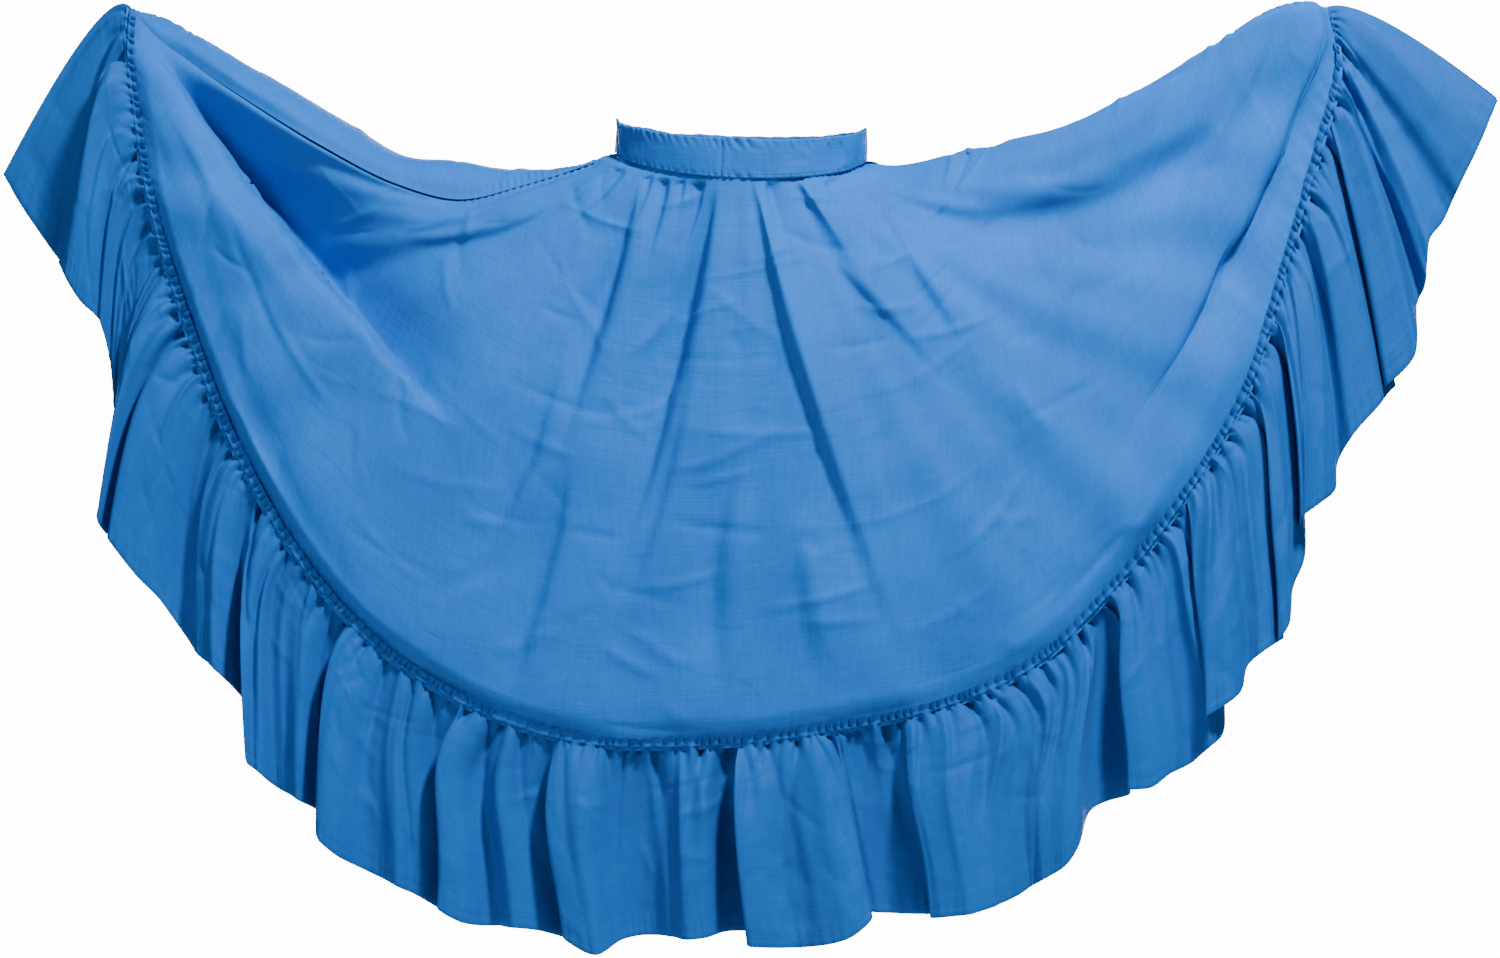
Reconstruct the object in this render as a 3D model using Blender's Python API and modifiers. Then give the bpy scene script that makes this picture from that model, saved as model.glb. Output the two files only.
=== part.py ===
"""A full-circle dance skirt with a gathered ruffle, worn and held out at both sides.

The waistband, the two half-circle panels and the two lengths of ruffle are walls of cloth.
Metres, +Z up, the front faces -Y, and the origin is the middle of the waist.
"""

import math
from collections import namedtuple

import bmesh
import bpy
import numpy as np

# Cloth
CLOTH_WALL = 0.0012
BAND_WALL = 0.0020
SEAM_GAP = 0.0003
CLOTH_COLOUR = (0.055, 0.235, 0.640)
CLOTH_ROUGHNESS = 0.62
SHADES = {"waistband": 1.0, "front_panel": 1.0, "back_panel": 0.92, "ruffle_front": 1.04, "ruffle_back": 0.95}

# Waistband, an oval that dips at the front and the back and is pulled up at its sides
WAIST_HALF_WIDTH = 0.1445
WAIST_HALF_DEPTH = 0.1025
BAND_HEIGHT = 0.046
BAND_SIDE_HEIGHT = 0.037
BAND_SIDE_Z = 0.0005
BAND_FRONT_Z = -0.034
BAND_BACK_Z = -0.016
BAND_LEFT_RAISE = 0.0045
BAND_TUCK = 0.008
BAND_CLOSING_ANGLE = -92.0
BAND_OVERLAP_ANGLE = 12.0
BAND_LAP_END_SHARE = 0.14
BAND_LAP_EASE_SHARE = 0.10
BAND_CORNER_RISE = 0.005
BAND_CORNER_SHARE = 0.02
BAND_COLUMNS = 72
BAND_ROWS = 2

# Panels
PANEL_MARGIN = 0.005
PANEL_BELOW_BAND = 0.0030
CREST_SHARE = 0.045
CREST_CLOSING = 10
SAG_START = 0.05
SAG_FADE = 3
WING_PUFF = 0.026
WING_PUFF_SHARE = 0.05
WING_FADE_SHARE = 0.10
FOLD_FADE_SHARE = 0.012
FOLD_SEAM_FADE = 10
FOLD_STEPS = 25
FOLD_PEAK = 0.6
LEFT_SEAM_FORWARD = 0.034
RIGHT_SEAM_BACK = 0.018
BACK_NARROWING = 0.965
BACK_LIFT = 0.022
SIDE_PARTING = 0.0004
WAIST_PARTING = 0.0008
WAIST_PARTING_DOWN = 0.08
WAIST_PARTING_REACH = 0.06
HOLD_PARTING = 0.0018
HOLD_CLOSING = 4
PARTING_FADE_SHARE = 0.02
PANEL_LEVELS = (0.0, 0.04, 0.10, 0.17, 0.24, 0.31, 0.38, 0.45, 0.52, 0.59, 0.67, 0.75, 0.83, 0.91)

# Ruffle
HEADING = 0.012
HEADING_REACH = 0.1
HEADING_WAVE = 0.0045
GATHER_DEPTH = 0.006
GATHER_FADE = 0.22
RUFFLE_KICK = 0.045
RUFFLE_PUFF = 0.014
END_PUFF = 0.2
END_PUFF_SHARE = 0.02
FOLD_START = 0.09
FOLD_GROWTH = 0.85
HEM_FRONT_Y = -0.020
HEM_FRONT_BELLY = -0.150
HEM_BACK_Y = 0.022
HEM_BACK_BELLY = 0.190
HEM_END_RISE = 6.0
RUFFLE_LEVELS = (0.10, 0.30, 0.62, 1.0)
COLUMNS_PER_FOLD_SIDE = 3
BACK_FOLD_SIDES = 36
BACK_FOLD_STAND = 0.032
BACK_FOLD_UNEVENNESS = 0.28
BACK_FOLD_SHIFT_TURN = 2.4
BACK_FOLD_STAND_TURN = 3.7
BACK_FOLD_STAND_CHANGE = 0.2
BACK_FOLD_DROOP = 0.010

# The line on which the ruffle is stitched, from the left hand hold to the right one
Seam = namedtuple("Seam", "x z front_y back_y")
SEAM = (
    Seam(-0.720, 0.175, 0.000, 0.000),
    Seam(-0.720, 0.130, -0.022, 0.022),
    Seam(-0.710, 0.050, -0.038, 0.042),
    Seam(-0.690, -0.060, -0.055, 0.062),
    Seam(-0.650, -0.190, -0.070, 0.084),
    Seam(-0.585, -0.350, -0.095, 0.112),
    Seam(-0.510, -0.475, -0.115, 0.138),
    Seam(-0.430, -0.565, -0.130, 0.158),
    Seam(-0.325, -0.635, -0.145, 0.178),
    Seam(-0.195, -0.680, -0.155, 0.192),
    Seam(-0.050, -0.685, -0.160, 0.200),
    Seam(0.125, -0.665, -0.157, 0.198),
    Seam(0.235, -0.640, -0.150, 0.190),
    Seam(0.335, -0.595, -0.140, 0.178),
    Seam(0.425, -0.510, -0.125, 0.158),
    Seam(0.510, -0.405, -0.105, 0.134),
    Seam(0.585, -0.280, -0.085, 0.108),
    Seam(0.630, -0.145, -0.062, 0.082),
    Seam(0.675, 0.005, -0.042, 0.056),
    Seam(0.700, 0.105, -0.026, 0.034),
    Seam(0.690, 0.175, 0.000, 0.000),
)

# How the cloth hangs between the waist and each hand: the top edge of each wing is its crest
Wing = namedtuple("Wing", "share left_seam left_crest right_seam right_crest")
WINGS = (
    Wing(0.00, 0.002, 0.002, -0.012, -0.012),
    Wing(0.10, -0.020, -0.012, -0.020, -0.012),
    Wing(0.20, -0.038, -0.016, -0.012, 0.001),
    Wing(0.32, -0.054, -0.008, 0.000, 0.014),
    Wing(0.45, -0.036, 0.000, 0.022, 0.038),
    Wing(0.60, 0.008, 0.049, 0.062, 0.079),
    Wing(0.75, 0.061, 0.099, 0.112, 0.130),
    Wing(0.88, 0.111, 0.145, 0.154, 0.168),
    Wing(0.95, 0.142, 0.164, 0.166, 0.173),
    Wing(1.00, 0.175, 0.175, 0.175, 0.175),
)

# The main folds of a panel, each a curve through three places; a valley has a depth below zero
Fold = namedtuple("Fold", "x0 z0 x1 z1 x2 z2 width depth")
FRONT_FOLDS = (
    Fold(-0.712, 0.160, -0.622, -0.018, -0.470, -0.205, 0.032, 0.032),
    Fold(-0.700, 0.150, -0.550, -0.005, -0.280, -0.285, 0.052, -0.050),
    Fold(-0.690, -0.120, -0.573, -0.365, -0.400, -0.560, 0.030, -0.016),
    Fold(-0.640, 0.090, -0.440, -0.095, -0.230, -0.110, 0.036, -0.012),
    Fold(0.690, 0.150, 0.606, -0.070, 0.390, -0.415, 0.024, 0.020),
    Fold(0.670, 0.135, 0.560, -0.060, 0.320, -0.400, 0.040, -0.032),
    Fold(0.640, -0.060, 0.480, -0.374, 0.300, -0.550, 0.032, -0.014),
    Fold(0.650, 0.105, 0.440, -0.050, 0.230, -0.075, 0.032, -0.015),
    Fold(-0.110, -0.080, -0.247, -0.307, -0.300, -0.560, 0.034, -0.014),
    Fold(-0.010, -0.200, -0.022, -0.487, -0.030, -0.690, 0.028, -0.012),
    Fold(0.045, -0.100, 0.120, -0.400, 0.200, -0.620, 0.032, -0.015),
    Fold(-0.138, -0.022, -0.170, -0.060, -0.215, -0.110, 0.010, -0.006),
    Fold(-0.112, -0.030, -0.135, -0.090, -0.170, -0.150, 0.010, -0.006),
    Fold(-0.076, -0.036, -0.095, -0.110, -0.125, -0.190, 0.010, -0.007),
    Fold(-0.035, -0.040, -0.045, -0.105, -0.065, -0.180, 0.010, -0.007),
    Fold(0.010, -0.042, 0.016, -0.110, 0.030, -0.190, 0.010, -0.006),
    Fold(0.058, -0.042, 0.078, -0.100, 0.115, -0.175, 0.010, -0.008),
    Fold(0.098, -0.040, 0.130, -0.080, 0.175, -0.125, 0.010, -0.006),
)
BACK_FOLDS = (
    Fold(-0.680, 0.130, -0.540, -0.080, -0.320, -0.330, 0.036, -0.026),
    Fold(-0.640, -0.100, -0.520, -0.350, -0.370, -0.520, 0.030, -0.014),
    Fold(-0.620, 0.100, -0.420, -0.070, -0.220, -0.100, 0.032, -0.012),
    Fold(0.660, 0.130, 0.520, -0.090, 0.300, -0.340, 0.038, -0.028),
    Fold(0.620, -0.090, 0.500, -0.350, 0.340, -0.520, 0.030, -0.014),
    Fold(0.600, 0.090, 0.410, -0.060, 0.220, -0.090, 0.032, -0.012),
    Fold(-0.070, -0.100, -0.150, -0.360, -0.190, -0.620, 0.030, -0.012),
    Fold(0.000, -0.160, 0.020, -0.420, 0.015, -0.660, 0.026, -0.010),
    Fold(0.080, -0.100, 0.180, -0.350, 0.240, -0.600, 0.030, -0.012),
    Fold(-0.120, -0.020, -0.155, -0.075, -0.200, -0.130, 0.010, -0.006),
    Fold(-0.070, -0.025, -0.090, -0.100, -0.115, -0.180, 0.010, -0.007),
    Fold(-0.020, -0.028, -0.028, -0.100, -0.035, -0.180, 0.009, -0.006),
    Fold(0.035, -0.028, 0.045, -0.100, 0.060, -0.180, 0.009, -0.007),
    Fold(0.085, -0.024, 0.110, -0.085, 0.150, -0.150, 0.010, -0.006),
)

# The folds of the front ruffle at its hem; a ridge stands out, a valley stands in
Hem = namedtuple("Hem", "share x z stand")
FRONT_HEM = (
    Hem(0.000, -0.870, -0.025, 0.000),
    Hem(0.014, -0.805, -0.120, -0.022),
    Hem(0.027, -0.790, -0.145, 0.026),
    Hem(0.051, -0.750, -0.195, -0.022),
    Hem(0.091, -0.742, -0.300, 0.016),
    Hem(0.112, -0.728, -0.335, -0.012),
    Hem(0.152, -0.735, -0.435, 0.026),
    Hem(0.187, -0.670, -0.525, -0.026),
    Hem(0.210, -0.630, -0.575, 0.030),
    Hem(0.229, -0.590, -0.615, -0.028),
    Hem(0.274, -0.565, -0.705, 0.034),
    Hem(0.301, -0.495, -0.755, -0.032),
    Hem(0.334, -0.460, -0.810, 0.035),
    Hem(0.364, -0.365, -0.860, -0.032),
    Hem(0.387, -0.295, -0.885, 0.034),
    Hem(0.417, -0.225, -0.895, -0.034),
    Hem(0.442, -0.165, -0.920, 0.035),
    Hem(0.462, -0.115, -0.900, -0.030),
    Hem(0.487, -0.055, -0.905, 0.033),
    Hem(0.507, 0.000, -0.900, -0.034),
    Hem(0.521, 0.015, -0.910, 0.030),
    Hem(0.537, 0.055, -0.910, -0.030),
    Hem(0.554, 0.105, -0.905, 0.035),
    Hem(0.577, 0.165, -0.880, -0.034),
    Hem(0.604, 0.225, -0.880, 0.034),
    Hem(0.635, 0.295, -0.870, -0.035),
    Hem(0.677, 0.380, -0.815, 0.036),
    Hem(0.694, 0.415, -0.755, -0.034),
    Hem(0.710, 0.455, -0.740, 0.030),
    Hem(0.726, 0.505, -0.715, -0.030),
    Hem(0.747, 0.550, -0.670, 0.032),
    Hem(0.759, 0.560, -0.645, -0.028),
    Hem(0.770, 0.575, -0.620, 0.026),
    Hem(0.784, 0.595, -0.585, -0.026),
    Hem(0.803, 0.625, -0.555, 0.030),
    Hem(0.833, 0.650, -0.480, -0.026),
    Hem(0.841, 0.645, -0.455, 0.020),
    Hem(0.849, 0.655, -0.420, -0.020),
    Hem(0.871, 0.685, -0.390, 0.028),
    Hem(0.889, 0.710, -0.335, -0.024),
    Hem(0.908, 0.735, -0.295, 0.026),
    Hem(0.919, 0.755, -0.270, -0.020),
    Hem(0.934, 0.785, -0.225, 0.024),
    Hem(0.947, 0.790, -0.185, -0.022),
    Hem(0.959, 0.800, -0.150, 0.024),
    Hem(0.976, 0.820, -0.080, -0.020),
    Hem(1.000, 0.890, 0.065, 0.000),
)

# The line about which the back ruffle waves at its hem
Edge = namedtuple("Edge", "share x z")
BACK_EDGE = (
    Edge(0.00, -0.868, -0.022),
    Edge(0.06, -0.738, -0.190),
    Edge(0.13, -0.695, -0.335),
    Edge(0.20, -0.630, -0.510),
    Edge(0.28, -0.535, -0.670),
    Edge(0.38, -0.330, -0.835),
    Edge(0.50, 0.000, -0.895),
    Edge(0.62, 0.270, -0.845),
    Edge(0.72, 0.465, -0.705),
    Edge(0.80, 0.580, -0.560),
    Edge(0.88, 0.665, -0.375),
    Edge(0.94, 0.745, -0.225),
    Edge(1.00, 0.888, 0.068),
)


def clear_scene():
    for thing in list(bpy.data.objects):
        bpy.data.objects.remove(thing)


def column(rows, name):
    return np.array([getattr(row, name) for row in rows])


def smooth(knots, values, at):
    """A cubic curve through the values, read at any place between the first knot and the last."""
    slopes = np.gradient(values, knots, axis=0)
    place = np.clip(np.searchsorted(knots, at, side="right") - 1, 0, len(knots) - 2)
    step = knots[place + 1] - knots[place]
    share = (at - knots[place]) / step
    rise = share * share * (3 - 2 * share)
    leave = share * (1 - share) ** 2 * step
    arrive = share * share * (share - 1) * step
    return (values[place] * (1 - rise) + values[place + 1] * rise
            + slopes[place] * leave + slopes[place + 1] * arrive)


def seam_shares():
    """How far along the stitched line each row of SEAM lies, from 0 to 1."""
    steps = np.hypot(np.diff(column(SEAM, "x")), np.diff(column(SEAM, "z")))
    lengths = np.concatenate([[0.0], np.cumsum(steps)])
    return lengths / lengths[-1]


def seam_point(front, share):
    knots = seam_shares()
    x = smooth(knots, column(SEAM, "x"), share)
    z = smooth(knots, column(SEAM, "z"), share)
    if front:
        return x, smooth(knots, column(SEAM, "front_y"), share), z
    inside = np.sin(np.pi * share)
    narrowing = 1 - (1 - BACK_NARROWING) * inside
    return x * narrowing, smooth(knots, column(SEAM, "back_y"), share), z + BACK_LIFT * inside


def band_bottom(angle):
    """Height of the band's lower edge; the angle runs from 0 at the front to 90 degrees at the right."""
    facing = np.cos(angle)
    front_dip = (BAND_FRONT_Z - BAND_SIDE_Z) * np.maximum(facing, 0)
    back_dip = (BAND_BACK_Z - BAND_SIDE_Z) * np.maximum(-facing, 0)
    return BAND_SIDE_Z + front_dip + back_dip - BAND_LEFT_RAISE * np.sin(angle)


def waist_angle(front, share):
    turn = np.pi * (share - 0.5)
    return turn if front else np.pi - turn


def waist_point(angle, outward):
    x = (WAIST_HALF_WIDTH + outward) * np.sin(angle)
    y = -(WAIST_HALF_DEPTH + outward) * np.cos(angle)
    return x, y, band_bottom(angle)


def arch(down):
    return 4 * down * (1 - down)


def wing_heights(side, down):
    knots = column(WINGS, "share")
    seam = smooth(knots, column(WINGS, side + "_seam"), down)
    crest = smooth(knots, column(WINGS, side + "_crest"), down)
    return seam, crest


def chord(front, share, down):
    """The straight line from just below the band to the stitched line."""
    start_x, start_y, bottom = waist_point(waist_angle(front, share), 0.0)
    start = start_x, start_y, bottom - PANEL_BELOW_BAND
    end = seam_point(front, share)
    return tuple(a * (1 - down) + b * down for a, b in zip(start, end))


def crest_share(down):
    """How far in from the side seam the crest lies; the two meet where the skirt is held."""
    return CREST_SHARE * (1 - down ** CREST_CLOSING)


def sag(front, share, down, side):
    """How far the wing at this side pulls the cloth below its straight line."""
    inward = share if side == "left" else 1 - share
    holds_crest = front == (side == "right")
    seam, crest = wing_heights(side, down)
    edge = crest_share(down) if holds_crest else np.zeros_like(down)
    edge_z = chord(front, edge if side == "left" else 1 - edge, down)[2]
    drop = edge_z - (crest if holds_crest else seam)
    fade = np.clip(1 - 2 * (inward - edge), 0, 1) ** SAG_FADE
    return drop * fade * np.minimum(down / SAG_START, 1)


def over_crest(points, front, share, down, side):
    """Between its side seam and its crest the panel rolls over the top of the wing."""
    x, y, z = points
    inward = share if side == "left" else 1 - share
    seam, crest = wing_heights(side, down)
    edge_x, edge_y, _ = chord(front, np.full_like(share, 0.0 if side == "left" else 1.0), down)
    forward = LEFT_SEAM_FORWARD if side == "left" else -RIGHT_SEAM_BACK
    edge_y = edge_y - forward * arch(down)
    width = np.maximum(crest_share(down), 1e-6)
    rolled = np.clip(inward / width, 0, 1)
    turn = rolled * np.pi / 2
    inside = rolled < 1
    x = np.where(inside, edge_x + (x - edge_x) * rolled, x)
    y = np.where(inside, edge_y + (y - edge_y) * (1 - np.cos(turn)), y)
    z = np.where(inside, seam + (crest - seam) * np.sin(turn), z)
    return x, y, z


def fold_height(folds, x, z):
    """How far the folds move the cloth out, at these places seen from the front."""
    total = np.zeros_like(x)
    run = np.linspace(0, 1, FOLD_STEPS)
    for fold in folds:
        bend_x = 2 * fold.x1 - (fold.x0 + fold.x2) / 2
        bend_z = 2 * fold.z1 - (fold.z0 + fold.z2) / 2
        line_x = (1 - run) ** 2 * fold.x0 + 2 * run * (1 - run) * bend_x + run ** 2 * fold.x2
        line_z = (1 - run) ** 2 * fold.z0 + 2 * run * (1 - run) * bend_z + run ** 2 * fold.z2
        away = np.hypot(x[..., None] - line_x, z[..., None] - line_z)
        nearest = np.argmin(away, axis=-1)
        strength = np.sin(np.pi * run ** FOLD_PEAK)[nearest]
        total += fold.depth * strength * np.exp(-(np.min(away, axis=-1) / fold.width) ** 2)
    return total


def panel_point(front, share, down):
    """Outer surface of a panel: share runs from its left side to its right, down from waist to ruffle."""
    share, down = np.broadcast_arrays(np.asarray(share, float), np.asarray(down, float))
    outward = -1.0 if front else 1.0
    x, y, z = chord(front, share, down)
    z = z - sag(front, share, down, "left") - sag(front, share, down, "right")
    rise = (1 - np.exp(-share / WING_PUFF_SHARE)) * (1 - np.exp(-(1 - share) / WING_PUFF_SHARE))
    y = y + outward * WING_PUFF * arch(down) * rise
    if front:
        y = y - LEFT_SEAM_FORWARD * arch(down) * np.exp(-share / WING_FADE_SHARE)
    points = over_crest((x, y, z), front, share, down, "right" if front else "left")
    if not front:
        x, y, z = points
        y = y + RIGHT_SEAM_BACK * arch(down) * np.exp(-(1 - share) / WING_FADE_SHARE)
        points = (x, y, z)
    x, y, z = points
    folds = FRONT_FOLDS if front else BACK_FOLDS
    inward = np.minimum(share, 1 - share)
    fade = (1 - np.exp(-(inward / FOLD_FADE_SHARE) ** 2)) * (1 - down ** FOLD_SEAM_FADE)
    height = fold_height(folds, x, z) * fade
    return np.stack([x, y + outward * height, z], axis=-1)


def unit(vectors):
    return vectors / np.linalg.norm(vectors, axis=-1, keepdims=True)


def side_parting(share, down):
    """Half the gap between the front and the back along a side seam."""
    at_waist = np.exp(-((down - WAIST_PARTING_DOWN) / WAIST_PARTING_REACH) ** 2)
    gap = SIDE_PARTING + HOLD_PARTING * down ** HOLD_CLOSING + WAIST_PARTING * at_waist
    near = np.exp(-share / PARTING_FADE_SHARE) + np.exp(-(1 - share) / PARTING_FADE_SHARE)
    return gap * near


def skirt_rows(front):
    return FRONT_HEM if front else back_hem_rows()


def ruffle_shares(front):
    """Where the ruffle's columns stand: evenly within each side of a fold."""
    rows = skirt_rows(front)
    places = np.linspace(0, len(rows) - 1, (len(rows) - 1) * COLUMNS_PER_FOLD_SIDE + 1)
    return np.interp(places, np.arange(len(rows)), column(rows, "share"))


def panel_rows(front):
    """The panel's points, a row for each level: tucked in the band, down to the ruffle, and the margin."""
    share = ruffle_shares(front)[::2]
    outward = -1.0 if front else 1.0
    rows = []
    for level in PANEL_LEVELS + (None, 1.0):
        if level is None:
            above = panel_point(front, share, 1 - HEADING_REACH)
            reach = np.linalg.norm(above - panel_point(front, share, 1.0), axis=-1)
            down = 1 - HEADING * HEADING_REACH / reach
        else:
            down = np.full_like(share, level)
        points = panel_point(front, share, down)
        points[:, 1] += outward * side_parting(share, down)
        rows.append(points)
    tucked = rows[0] + np.array([0.0, 0.0, BAND_TUCK + PANEL_BELOW_BAND])
    away = unit(rows[-1] - rows[-2])
    return np.stack([tucked] + rows + [rows[-1] + away * PANEL_MARGIN])


def between(points):
    """The same line with a point added halfway along each step."""
    out = np.empty((2 * len(points) - 1, 3))
    out[::2] = points
    out[1::2] = (points[:-1] + points[1:]) / 2
    return out


def back_hem_rows():
    """Ridges and valleys of the back ruffle, unevenly spaced round its edge line."""
    knots = column(BACK_EDGE, "share")
    rows = []
    for index in range(BACK_FOLD_SIDES + 1):
        swell = math.sin(math.pi * index / BACK_FOLD_SIDES)
        shift = BACK_FOLD_UNEVENNESS * math.sin(BACK_FOLD_SHIFT_TURN * index) * swell
        share = (index + shift) / BACK_FOLD_SIDES
        at_end = index in (0, BACK_FOLD_SIDES)
        change = BACK_FOLD_STAND_CHANGE * math.sin(BACK_FOLD_STAND_TURN * index)
        height = 0.0 if at_end else BACK_FOLD_STAND * (1 + change)
        x = float(smooth(knots, column(BACK_EDGE, "x"), np.array(share)))
        z = float(smooth(knots, column(BACK_EDGE, "z"), np.array(share)))
        ridge = index % 2 == 1
        droop = BACK_FOLD_DROOP if ridge and not at_end else 0.0
        rows.append(Hem(share, x, z - droop, height if ridge else -height))
    return rows


def hem_point(front, rows, share):
    """The hem: where it is, and how far it stands out there."""
    knots = column(rows, "share")
    x, z, stand = (smooth(knots, column(rows, name), share) for name in ("x", "z", "stand"))
    depth, belly = (HEM_FRONT_Y, HEM_FRONT_BELLY) if front else (HEM_BACK_Y, HEM_BACK_BELLY)
    swell = np.sin(np.pi * share)
    y = belly * swell + depth * np.minimum(swell * HEM_END_RISE, 1)
    return np.stack([x, y, z], axis=-1), stand


def gather(rows, share):
    """One small gather for each side of a fold, from 0 to 1."""
    knots = column(rows, "share")
    return 0.5 - 0.5 * np.cos(2 * np.pi * np.interp(share, knots, np.arange(len(rows))))


def ruffle_puff(share):
    """How far the ruffle puffs out from its seam: hardly at the ends, where front and back are sewn together."""
    inward = np.minimum(share, 1 - share)
    return RUFFLE_PUFF * (END_PUFF + (1 - END_PUFF) * (1 - np.exp(-(inward / END_PUFF_SHARE) ** 2)))


def ruffle_rows(front):
    """The ruffle's inner points, moved out from the panel's: heading, stitched line and down to the hem."""
    share = ruffle_shares(front)
    rows = skirt_rows(front)
    outward = -1.0 if front else 1.0
    head, start = (between(line) for line in panel_rows(front)[-3:-1])
    away = unit(start - head)
    along = np.gradient(start, axis=0)
    side = unit(np.cross(along, away)) * outward
    pleat = gather(rows, share)[:, None]
    hem, stand = hem_point(front, rows, share)
    bend = start + away * RUFFLE_KICK + side * (ruffle_puff(share) + SEAM_GAP)[:, None]
    out = [head + side * (SEAM_GAP + HEADING_WAVE * pleat), start + side * SEAM_GAP]
    for level in RUFFLE_LEVELS:
        curve = out[1] * (1 - level) ** 2 + 2 * bend * level * (1 - level) + hem * level ** 2
        grown = max(0.0, (level - FOLD_START) / (1 - FOLD_START)) ** FOLD_GROWTH
        crimp = GATHER_DEPTH * pleat[:, 0] * math.exp(-level / GATHER_FADE)
        curve[:, 1] += outward * (stand * grown + crimp + side_parting(share, 0.0))
        out.append(curve)
    return np.stack(out)


def cloth_sheet(name, rows, faces_back):
    """A grid whose points are put on these rows of points, top row first."""
    down_steps, across_steps = rows.shape[0] - 1, rows.shape[1] - 1
    mesh = bmesh.new()
    bmesh.ops.create_grid(mesh, x_segments=across_steps, y_segments=down_steps, size=1.0)
    for vertex in mesh.verts:
        across = round((vertex.co.x + 1) / 2 * across_steps)
        up = round((vertex.co.y + 1) / 2 * down_steps)
        vertex.co = rows[up if faces_back else down_steps - up, across]
    data = bpy.data.meshes.new(name)
    mesh.to_mesh(data)
    mesh.free()
    return bpy.data.objects.new(name, data)


def add_wall(thing, thickness, outward):
    wall = thing.modifiers.new("Wall", "SOLIDIFY")
    wall.thickness = thickness
    wall.offset = 1.0 if outward else -1.0
    wall.use_even_offset = True
    wall.use_quality_normals = True


def make_panel(front):
    panel = cloth_sheet("front_panel" if front else "back_panel", panel_rows(front), not front)
    add_wall(panel, CLOTH_WALL, False)
    return panel


def make_ruffle(front):
    ruffle = cloth_sheet("ruffle_front" if front else "ruffle_back", ruffle_rows(front), not front)
    add_wall(ruffle, CLOTH_WALL, True)
    return ruffle


def make_waistband():
    """A strip that goes once round the waist and laps over its own end at the left side."""
    start = math.radians(BAND_CLOSING_ANGLE)
    lap = math.radians(BAND_OVERLAP_ANGLE)
    across = np.linspace(0, 1, BAND_COLUMNS + 1)
    angle = start + across * (2 * math.pi + lap)
    ease = np.clip((BAND_LAP_END_SHARE - across) / BAND_LAP_EASE_SHARE, 0, 1)
    lapped = SEAM_GAP + (BAND_WALL + SEAM_GAP) * ease * ease * (3 - 2 * ease)
    x, y, bottom = waist_point(angle, lapped)
    height = BAND_SIDE_HEIGHT + (BAND_HEIGHT - BAND_SIDE_HEIGHT) * np.abs(np.cos(angle))
    height = height + BAND_CORNER_RISE * np.exp(-across / BAND_CORNER_SHARE)
    levels = np.linspace(1, 0, BAND_ROWS + 1)
    rows = np.stack([np.stack([x, y, bottom + height * level], axis=-1) for level in levels])
    band = cloth_sheet("waistband", rows, False)
    add_wall(band, BAND_WALL, True)
    return band


def cloth_material(piece):
    material = bpy.data.materials.new(piece + "_cloth")
    material.use_nodes = True
    shader = material.node_tree.nodes["Principled BSDF"]
    colour = [part * SHADES[piece] for part in CLOTH_COLOUR]
    shader.inputs["Base Color"].default_value = (*colour, 1.0)
    shader.inputs["Roughness"].default_value = CLOTH_ROUGHNESS
    shader.inputs["Metallic"].default_value = 0.0
    return material


def main():
    clear_scene()
    collection = bpy.data.collections.new("dance_skirt")
    bpy.context.scene.collection.children.link(collection)
    pieces = (make_waistband(), make_panel(True), make_panel(False), make_ruffle(True), make_ruffle(False))
    for piece in pieces:
        collection.objects.link(piece)
        piece.data.materials.append(cloth_material(piece.name))
        piece.data.shade_smooth()


if __name__ == "__main__":
    main()
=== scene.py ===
"""A full-circle dance skirt with a gathered ruffle, worn and held out at both sides.

Metres, +Z up, the front faces -Y, and the origin is the middle of the waist.
"""

import math
from collections import namedtuple

import bpy
import numpy as np
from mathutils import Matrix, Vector


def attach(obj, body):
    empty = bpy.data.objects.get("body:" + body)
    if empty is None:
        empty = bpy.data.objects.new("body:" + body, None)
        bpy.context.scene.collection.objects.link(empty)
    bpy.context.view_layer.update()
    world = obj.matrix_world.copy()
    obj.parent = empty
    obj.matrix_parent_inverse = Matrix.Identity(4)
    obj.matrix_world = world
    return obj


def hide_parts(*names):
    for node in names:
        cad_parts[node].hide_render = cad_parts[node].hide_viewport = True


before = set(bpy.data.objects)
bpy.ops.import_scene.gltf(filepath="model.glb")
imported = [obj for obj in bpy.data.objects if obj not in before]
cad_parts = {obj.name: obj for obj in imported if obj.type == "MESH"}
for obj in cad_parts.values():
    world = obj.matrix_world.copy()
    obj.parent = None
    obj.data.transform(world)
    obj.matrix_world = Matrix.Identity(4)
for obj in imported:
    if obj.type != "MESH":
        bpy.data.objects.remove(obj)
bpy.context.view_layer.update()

bl_info = {
    "name": "Gathered dance skirt",
    "version": (1, 0, 0),
    "blender": (4, 5, 0),
    "location": "3D View > Sidebar > Skirt",
    "description": "Sews a full-circle dance skirt with a gathered ruffle",
    "category": "Object",
}

# Form of the solids
SEAM_GAP = 0.0003
WAIST_HALF_WIDTH = 0.1445
WAIST_HALF_DEPTH = 0.1025
BAND_HEIGHT = 0.046
BAND_SIDE_HEIGHT = 0.037
BAND_SIDE_Z = 0.0005
BAND_FRONT_Z = -0.034
BAND_BACK_Z = -0.016
BAND_LEFT_RAISE = 0.0045
BAND_TUCK = 0.008
BAND_CLOSING_ANGLE = -92.0
BAND_OVERLAP_ANGLE = 12.0
BAND_LAP_END_SHARE = 0.14
BAND_LAP_EASE_SHARE = 0.10
BAND_CORNER_RISE = 0.003
BAND_CORNER_SHARE = 0.02
PANEL_MARGIN = 0.005
PANEL_BELOW_BAND = 0.0030
CREST_SHARE = 0.045
CREST_CLOSING = 10
SAG_START = 0.05
SAG_FADE = 3
WING_PUFF = 0.026
WING_PUFF_SHARE = 0.05
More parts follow.
